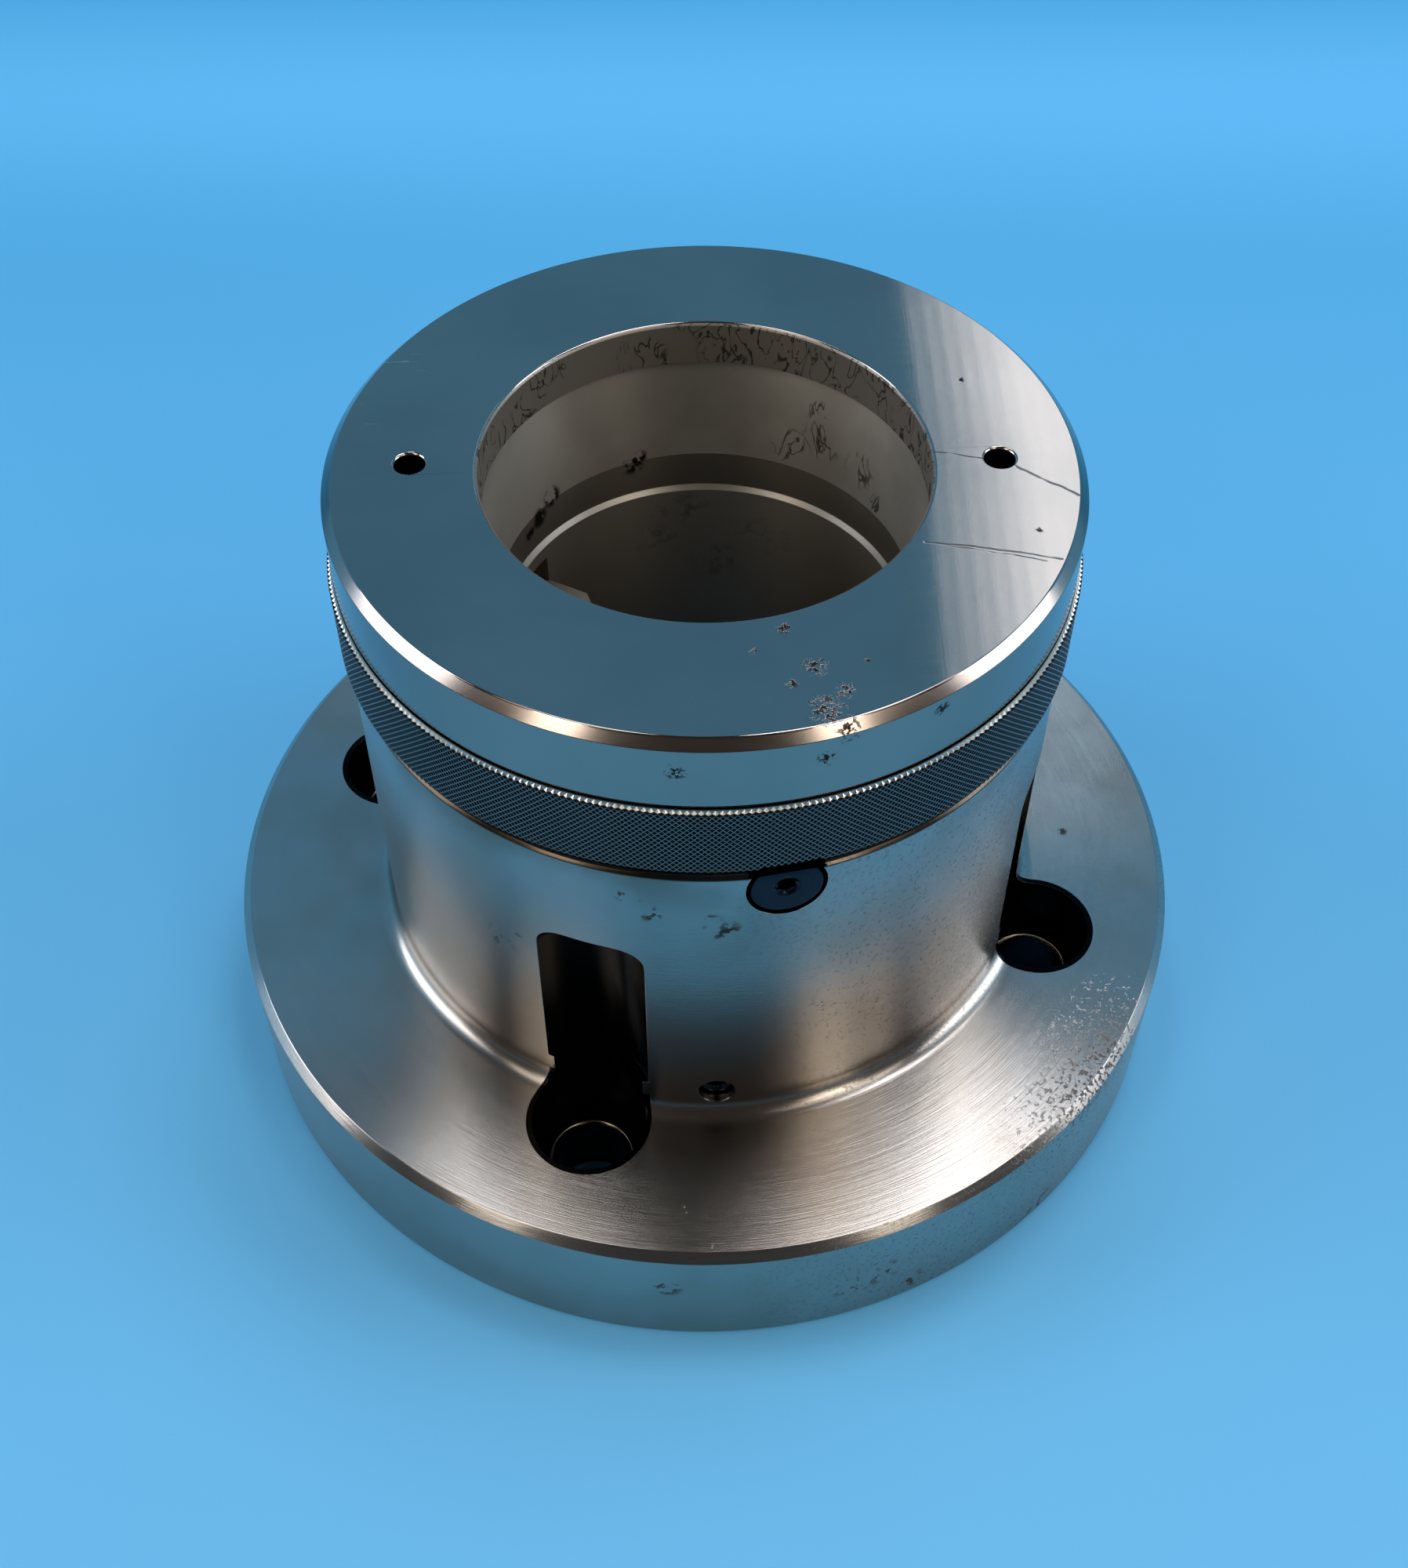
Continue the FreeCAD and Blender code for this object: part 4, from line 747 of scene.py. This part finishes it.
def makeKnurlBand(sizes, cap):
    foot, top, rows = sizes["foot"] * mm, sizes["top"] * mm, sizes["rows"]
    rowHeight = (top - foot) / rows
    clearSelection()
    bpy.ops.mesh.primitive_cylinder_add(
        vertices=sizes["around"], radius=sizes["valley"] * mm, depth=top - foot, end_fill_type="NOTHING",
        location=(0, 0, (foot + top) / 2))
    band = bpy.context.object
    band.name = "knurlBand"
    bpy.ops.object.transform_apply()
    bpy.ops.object.mode_set(mode="EDIT")
    bpy.ops.mesh.select_mode(type="EDGE")
    bpy.ops.mesh.select_all(action="DESELECT")
    mesh = bmesh.from_edit_mesh(band.data)
    for edge in mesh.edges:
        edge.select = abs(edge.verts[0].co.z - edge.verts[1].co.z) > rowHeight
    bmesh.update_edit_mesh(band.data)
    bpy.ops.mesh.subdivide(number_cuts=rows - 1)
    # every second crossing is a tip
    bpy.ops.mesh.select_mode(type="VERT")
    bpy.ops.mesh.select_all(action="DESELECT")
    mesh = bmesh.from_edit_mesh(band.data)
    for vertex in mesh.verts:
        row = round((vertex.co.z - foot) / rowHeight)
        column = round(math.atan2(vertex.co.y, vertex.co.x) / (2 * math.pi) * sizes["around"] + 0.25)
        vertex.select = (row + column) % 2 == 0 and 0 < row < rows
    bmesh.update_edit_mesh(band.data)
    grow = sizes["peak"] / sizes["valley"]
    bpy.ops.transform.resize(value=(grow, grow, 1), center_override=(0, 0, 0))
    bpy.ops.mesh.bevel(offset=sizes["tipFlat"] * mm, affect="VERTICES", segments=1)
    bpy.ops.mesh.select_all(action="SELECT")
    bpy.ops.mesh.quads_convert_to_tris(quad_method="SHORTEST_DIAGONAL")
    # the ends lean in: a lead chamfer above, the skirt's chamfer below
    mesh = bmesh.from_edit_mesh(band.data)
    for vertex in mesh.verts:
        reach = math.hypot(vertex.co.x, vertex.co.y)
        limit = min(sizes["peak"] * mm, (sizes["skirt"] - sizes["lead"]) * mm + (top - vertex.co.z),
                    sizes["skirt"] * mm + min(0.0, vertex.co.z - sizes["chamferTop"] * mm))
        if reach > limit:
            vertex.co.x *= limit / reach
            vertex.co.y *= limit / reach
    bmesh.update_edit_mesh(band.data)
    # an inner wall closes the ring
    bpy.ops.mesh.select_mode(type="EDGE")
    bpy.ops.mesh.select_all(action="DESELECT")
    mesh = bmesh.from_edit_mesh(band.data)
    for edge in mesh.edges:
        edge.select = edge.is_boundary
    bmesh.update_edit_mesh(band.data)
    bpy.ops.mesh.extrude_edges_move()
    shrink = sizes["inner"] / sizes["endRadius"]
    bpy.ops.transform.resize(value=(shrink, shrink, 1), center_override=(0, 0, 0))
    bpy.ops.mesh.bridge_edge_loops()
    bpy.ops.mesh.select_all(action="SELECT")
    bpy.ops.mesh.normals_make_consistent(inside=False)
    bpy.ops.mesh.select_mode(type="VERT")
    bpy.ops.object.mode_set(mode="OBJECT")
    cutAway(band, [notchCutter(cap)])
    band = finishPiece(band, knurlSteel, "cap", ["nose_cap"], smoothAngle=12)
    return band


capShell = makeCapShell(noseCapSizes)
knurlBand = makeKnurlBand(knurlSizes, noseCapSizes)
print("nose cap modelled:", len(capShell.data.polygons), "and", len(knurlBand.data.polygons), "faces")


# Turning lock: D-shaped head with a hex socket and a lead-in
lockSizes = {"angle": 282, "height": 90.4, "head": 5.8, "foot": 57.7, "top": 61.3, "flat": 3.6,
             "socket": 3.0, "edge": 0.18}


def makeLockScrew(sizes):
    axis = direction(sizes["angle"])
    centre = (0, 0, sizes["height"])
    outline = [(0, 50.6), (2.2, 50.6), (2.5, 50.9), (2.5, sizes["foot"]), (sizes["head"], sizes["foot"]),
               (sizes["head"], sizes["top"]), (0, sizes["top"])]
    screw = turnedPiece("lockScrew", outline, centre=centre, axis=axis, outwards=(0, 0, 1), steps=96)
    block = blockAlong("flatCutter", sizes["angle"],
                       [(-7, sizes["height"] + sizes["flat"]), (7, sizes["height"] + sizes["flat"]),
                        (7, sizes["height"] + 8), (-7, sizes["height"] + 8)], sizes["foot"] - 0.02, 63)
    lead = turnedPiece("leadCutter", [(0, 60.75), (1.62, 60.75), (2.3, 61.5), (0, 61.5)], centre=centre,
                       axis=axis, outwards=(0, 0, 1), steps=48)
    socket = blockAlong("socketCutter", sizes["angle"], hexagonCorners(sizes["socket"], sizes["height"]),
                        59.1, 62)
    cutAway(screw, [block, socket, lead])
    softenEdges(screw, sizes["edge"])
    return finishPiece(screw, finishes["blackOxide"], "lock", ["cap_lock_screw"])


# Set screw over the guide pin, with its hex socket outwards
guideScrewSizes = {"angle": 272, "height": 33.5, "radius": 3.2, "foot": 54.05, "top": 59.85, "socket": 3.0,
                   "edge": 0.12}


def makeGuideScrew(sizes):
    axis = direction(sizes["angle"])
    centre = (0, 0, sizes["height"])
    outline = [(0, sizes["foot"]), (sizes["radius"] - 0.4, sizes["foot"]),
               (sizes["radius"], sizes["foot"] + 0.4), (sizes["radius"], sizes["top"] - 0.5),
               (sizes["radius"] - 0.5, sizes["top"]), (0, sizes["top"])]
    screw = turnedPiece("guideScrew", outline, centre=centre, axis=axis, outwards=(0, 0, 1), steps=64)
    lead = turnedPiece("leadCutter", [(0, sizes["top"] - 0.5), (1.6, sizes["top"] - 0.5),
                                      (2.2, sizes["top"] + 0.1), (0, sizes["top"] + 0.1)],
                       centre=centre, axis=axis, outwards=(0, 0, 1), steps=48)
    socket = blockAlong("socketCutter", sizes["angle"], hexagonCorners(sizes["socket"], sizes["height"]),
                        sizes["top"] - 3, 62.5)
    cutAway(screw, [socket, lead])
    softenEdges(screw, sizes["edge"])
    return finishPiece(screw, finishes["blackOxide"], "housing", ["guide_pin_set_screw"])


lockScrew = makeLockScrew(lockSizes)
guideScrew = makeGuideScrew(guideScrewSizes)
print("lock and set screw modelled")


# Closing sleeve, seen down the bore: taper, throat, and the bore that the pusher runs in
sleeveSizes = {
    "outer": 46.97, "foot": 27.0, "top": 116.1, "throat": 35.3, "taperFoot": 97.3, "throatFoot": 90.1,
    "mouth": 37.942, "bore": 38.0, "keyAngle": 153.5, "guideAngle": 272, "edge": 0.12,
}


def makeSleeve(sizes):
    outline = [(sizes["bore"], sizes["foot"]), (sizes["outer"] - 0.8, sizes["foot"]),
               (sizes["outer"], sizes["foot"] + 0.8), (sizes["outer"], sizes["top"] - 0.8),
               (sizes["outer"] - 0.8, sizes["top"]), (sizes["mouth"], sizes["top"]),
               (sizes["throat"], sizes["taperFoot"]), (sizes["throat"], sizes["throatFoot"]),
               (sizes["bore"], sizes["throatFoot"])]
    sleeve = turnedPiece("closingSleeve", outline, steps=200)
    slot = blockAlong("guideSlotCutter", sizes["guideAngle"],
                      [(-2.98, 26), (2.98, 26), (2.98, 44.9), (-2.98, 44.9)], 43.77, 48)
    seat = blockAlong("keySeatCutter", sizes["keyAngle"],
                      [(-4.05, 66.95), (4.05, 66.95), (4.05, 81.05), (-4.05, 81.05)], 36, 42.5)
    cutAway(sleeve, [slot, seat])
    softenEdges(sleeve, sizes["edge"], angle=35)
    return finishPiece(sleeve, sleeveSteel, "sleeve", ["closing_sleeve"])


# Pusher: thin tube with a slot for the key and a bright lead edge at its front
pusherSizes = {"bore": 34.5, "outer": 37.97, "foot": 54.05, "top": 90.05, "lead": 0.8, "keyAngle": 153.5,
               "edge": 0.1}


def makePusher(sizes):
    outline = [(sizes["bore"], sizes["foot"]), (sizes["outer"], sizes["foot"]), (sizes["outer"], 55.7),
               (36.25, 55.7), (36.25, 57.6), (sizes["outer"], 57.6), (sizes["outer"], sizes["top"]),
               (sizes["bore"] + sizes["lead"], sizes["top"]), (sizes["bore"], sizes["top"] - sizes["lead"])]
    pusher = turnedPiece("colletPusher", outline, steps=200)
    slot = blockAlong("pusherSlotCutter", sizes["keyAngle"],
                      [(-4.1, 66.7), (4.1, 66.7), (4.1, 86.5), (-4.1, 86.5)], 32, 40)
    cutAway(pusher, [slot])
    softenEdges(pusher, sizes["edge"])
    return finishPiece(pusher, sleeveSteel, "pusher", ["collet_pusher"])


closingSleeve = makeSleeve(sleeveSizes)
colletPusher = makePusher(pusherSizes)
print("sleeve and pusher modelled")


# CAD nodes that stay get their finish here
nodeFinishes = {
    "guide_pin": "hardenedSteel",
    "lock_disc_spring": "springSteel",
    "collet_key": "hardenedSteel",
    "collet_key_screws": "blackOxide",
    "pusher_spring": "springSteel",
    "spring_seat_washer": "springSteel",
    "drawtube_adapter": "adapterSteel",
    "adapter_set_screws": "blackOxide",
    "adapter_thread_pads": "padBrass",
    "sleeve_wiper_seal": "nitrileRubber",
    "sleeve_rear_seal": "nitrileRubber",
    "cap_seal": "nitrileRubber",
    "pusher_seal": "nitrileRubber",
    "adapter_seal": "nitrileRubber",
}
for node, finish in nodeFinishes.items():
    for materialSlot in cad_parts[node].material_slots:
        materialSlot.material = finishes[finish]
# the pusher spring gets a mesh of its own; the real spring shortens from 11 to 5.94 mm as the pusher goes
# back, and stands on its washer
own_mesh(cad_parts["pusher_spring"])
print("CAD nodes finished")


# Stage: a pale floor, painted lighter towards the camera as a falloff of light and crossed by a painted
# highlight band, and a studio that is blue behind the chuck and dim on the camera's side
# front and back are the floor's colours for a painted falloff of light, band a painted highlight
stageLook = {"front": "#74bce4", "back": "#2e94c8", "band": "#5fb2e2", "size": 10.0}


def makeFloor(look):
    clearSelection()
    bpy.ops.mesh.primitive_plane_add(size=look["size"], location=(0, 0, 0))
    floor = bpy.context.object
    floor.name = "floor"
    material, shader, add, place = startMaterial("paleFloor", metallic=0.0)
    ahead = add("SeparateXYZ", [place], 1)
    # painted falloff of light: lighter towards the camera, darker and bluer away from it
    floorFalloff = add("MapRange", [ahead, -0.32, 0.6])
    colour = add("Mix", {0: floorFalloff, 6: linearColour(look["front"]), 7: linearColour(look["back"])}, 2, **mixed)
    # a painted highlight band across the floor, behind the chuck
    away = add("Math", [add("Math", [ahead, 0.33], operation="SUBTRACT")], operation="ABSOLUTE")
    band = add("MapRange", [away, 0.1, 0.0], **smooth)
    colour = add("Mix", {0: band, 6: colour, 7: linearColour(look["band"])}, 2, **mixed)
    feedShader(shader, {"Base Color": colour})
    shader.inputs["Roughness"].default_value = 0.6
    shader.inputs["Specular IOR Level"].default_value = 0.15
    floor.data.materials.append(material)
    return floor


worldLook = {"low": "#61aede", "back": "#609fc9", "top": "#363636", "front": "#403e3c"}


def makeWorld(look):
    world = bpy.data.worlds.new("studio")
    scene.world = world
    world.use_nodes = True
    add = partial(addNode, world.node_tree)
    way = add("TexCoord", output="Generated")
    across, ahead, up = (add("SeparateXYZ", [way], output) for output in range(3))
    low = add("MapRange", [up, 0.05, 0.5], **smooth)
    colour = add("Mix", {0: low, 6: linearColour(look["low"]), 7: linearColour(look["back"])}, 2, **mixed)
    high = add("MapRange", [up, 0.78, 0.9], **smooth)
    colour = add("Mix", {0: high, 6: colour, 7: linearColour(look["top"])}, 2, **mixed)
    front = add("MapRange", [ahead, 0.1, -0.25], **smooth)
    colour = add("Mix", {0: front, 6: colour, 7: linearColour(look["front"])}, 2, **mixed)
    world.node_tree.links.new(colour, world.node_tree.nodes["Background"].inputs["Color"])


# Soft boxes: place, what it faces, width, height, brightness as seen in a mirror, and colour
softboxes = {
    "ceilingLeft": ((-0.255, 0.4, 1.5), (-0.255, 0.3999, 0), 0.25, 0.6, 5.5, "#f4f8ff"),
    "ceilingRight": ((0.345, 0.4, 1.5), (0.345, 0.3999, 0), 0.51, 0.66, 8.0, "#f6f8ff"),
    "overheadLeft": ((-1.05, -0.9, 1.7), (0, 0, 0), 0.9, 0.9, 1.8, "#fff8ee"),
    "overheadRight": ((1.05, -0.9, 1.7), (0, 0, 0), 0.9, 0.9, 1.8, "#fff8ee"),
    "sideLeft": ((-2.0, 0.0, 1.1), (0, 0, 0), 1.2, 1.2, 4.6, "#f4f8ff"),
    "sideRight": ((2.0, 0.0, 1.1), (0, 0, 0), 1.2, 1.2, 4.6, "#f4f8ff"),
    "frontLeft": ((-1.35, -1.45, 1.45), (0, 0, 0.1), 0.45, 0.8, 4.0, "#fff6ea"),
    "frontRight": ((1.25, -1.55, 1.45), (0, 0, 0.1), 0.45, 0.8, 4.0, "#fff6ea"),
}
ceilingStrips = {"count": 11, "left": 0.2776, "pitch": 0.0222, "away": 1.7, "height": 1.525, "length": 0.95,
                 "narrow": 0.42, "broad": 0.93, "dim": 1.0, "bright": 2.4, "opensOver": 6,
                 "colour": "#eef4fb"}


def addSoftbox(name, place, aim, width, height, brightness, colour):
    light = bpy.data.lights.new(name, "AREA")
    light.shape = "RECTANGLE"
    light.size = width
    light.size_y = height
    light.energy = brightness * math.pi * width * height
    light.color = linearColour(colour)[:3]
    lamp = bpy.data.objects.new(name, light)
    scene.collection.objects.link(lamp)
    lamp.location = place
    lamp.rotation_euler = (Vector(aim) - Vector(place)).to_track_quat("-Z", "Y").to_euler()


# Ceiling light behind the chuck, seen through slats that run away from the camera: towards the right
# the slats open, so the strips between them grow broader and brighter. Each strip faces down, aimed a hair
# towards the camera, which lays its length along Y
def addCeilingStrips(look):
    for strip in range(look["count"]):
        share = min(1.0, strip / look["opensOver"])
        width = look["pitch"] * (look["narrow"] + (look["broad"] - look["narrow"]) * share)
        across = look["left"] + look["pitch"] * (strip + 0.5)
        addSoftbox("ceilingStrip%d" % (strip + 1), (across, look["away"], look["height"]),
                   (across, look["away"] - 0.0001, 0), width, look["length"],
                   look["dim"] + (look["bright"] - look["dim"]) * share, look["colour"])


makeFloor(stageLook)
makeWorld(worldLook)
for name, settings in softboxes.items():
    addSoftbox(name, *settings)
addCeilingStrips(ceilingStrips)
print("stage set")
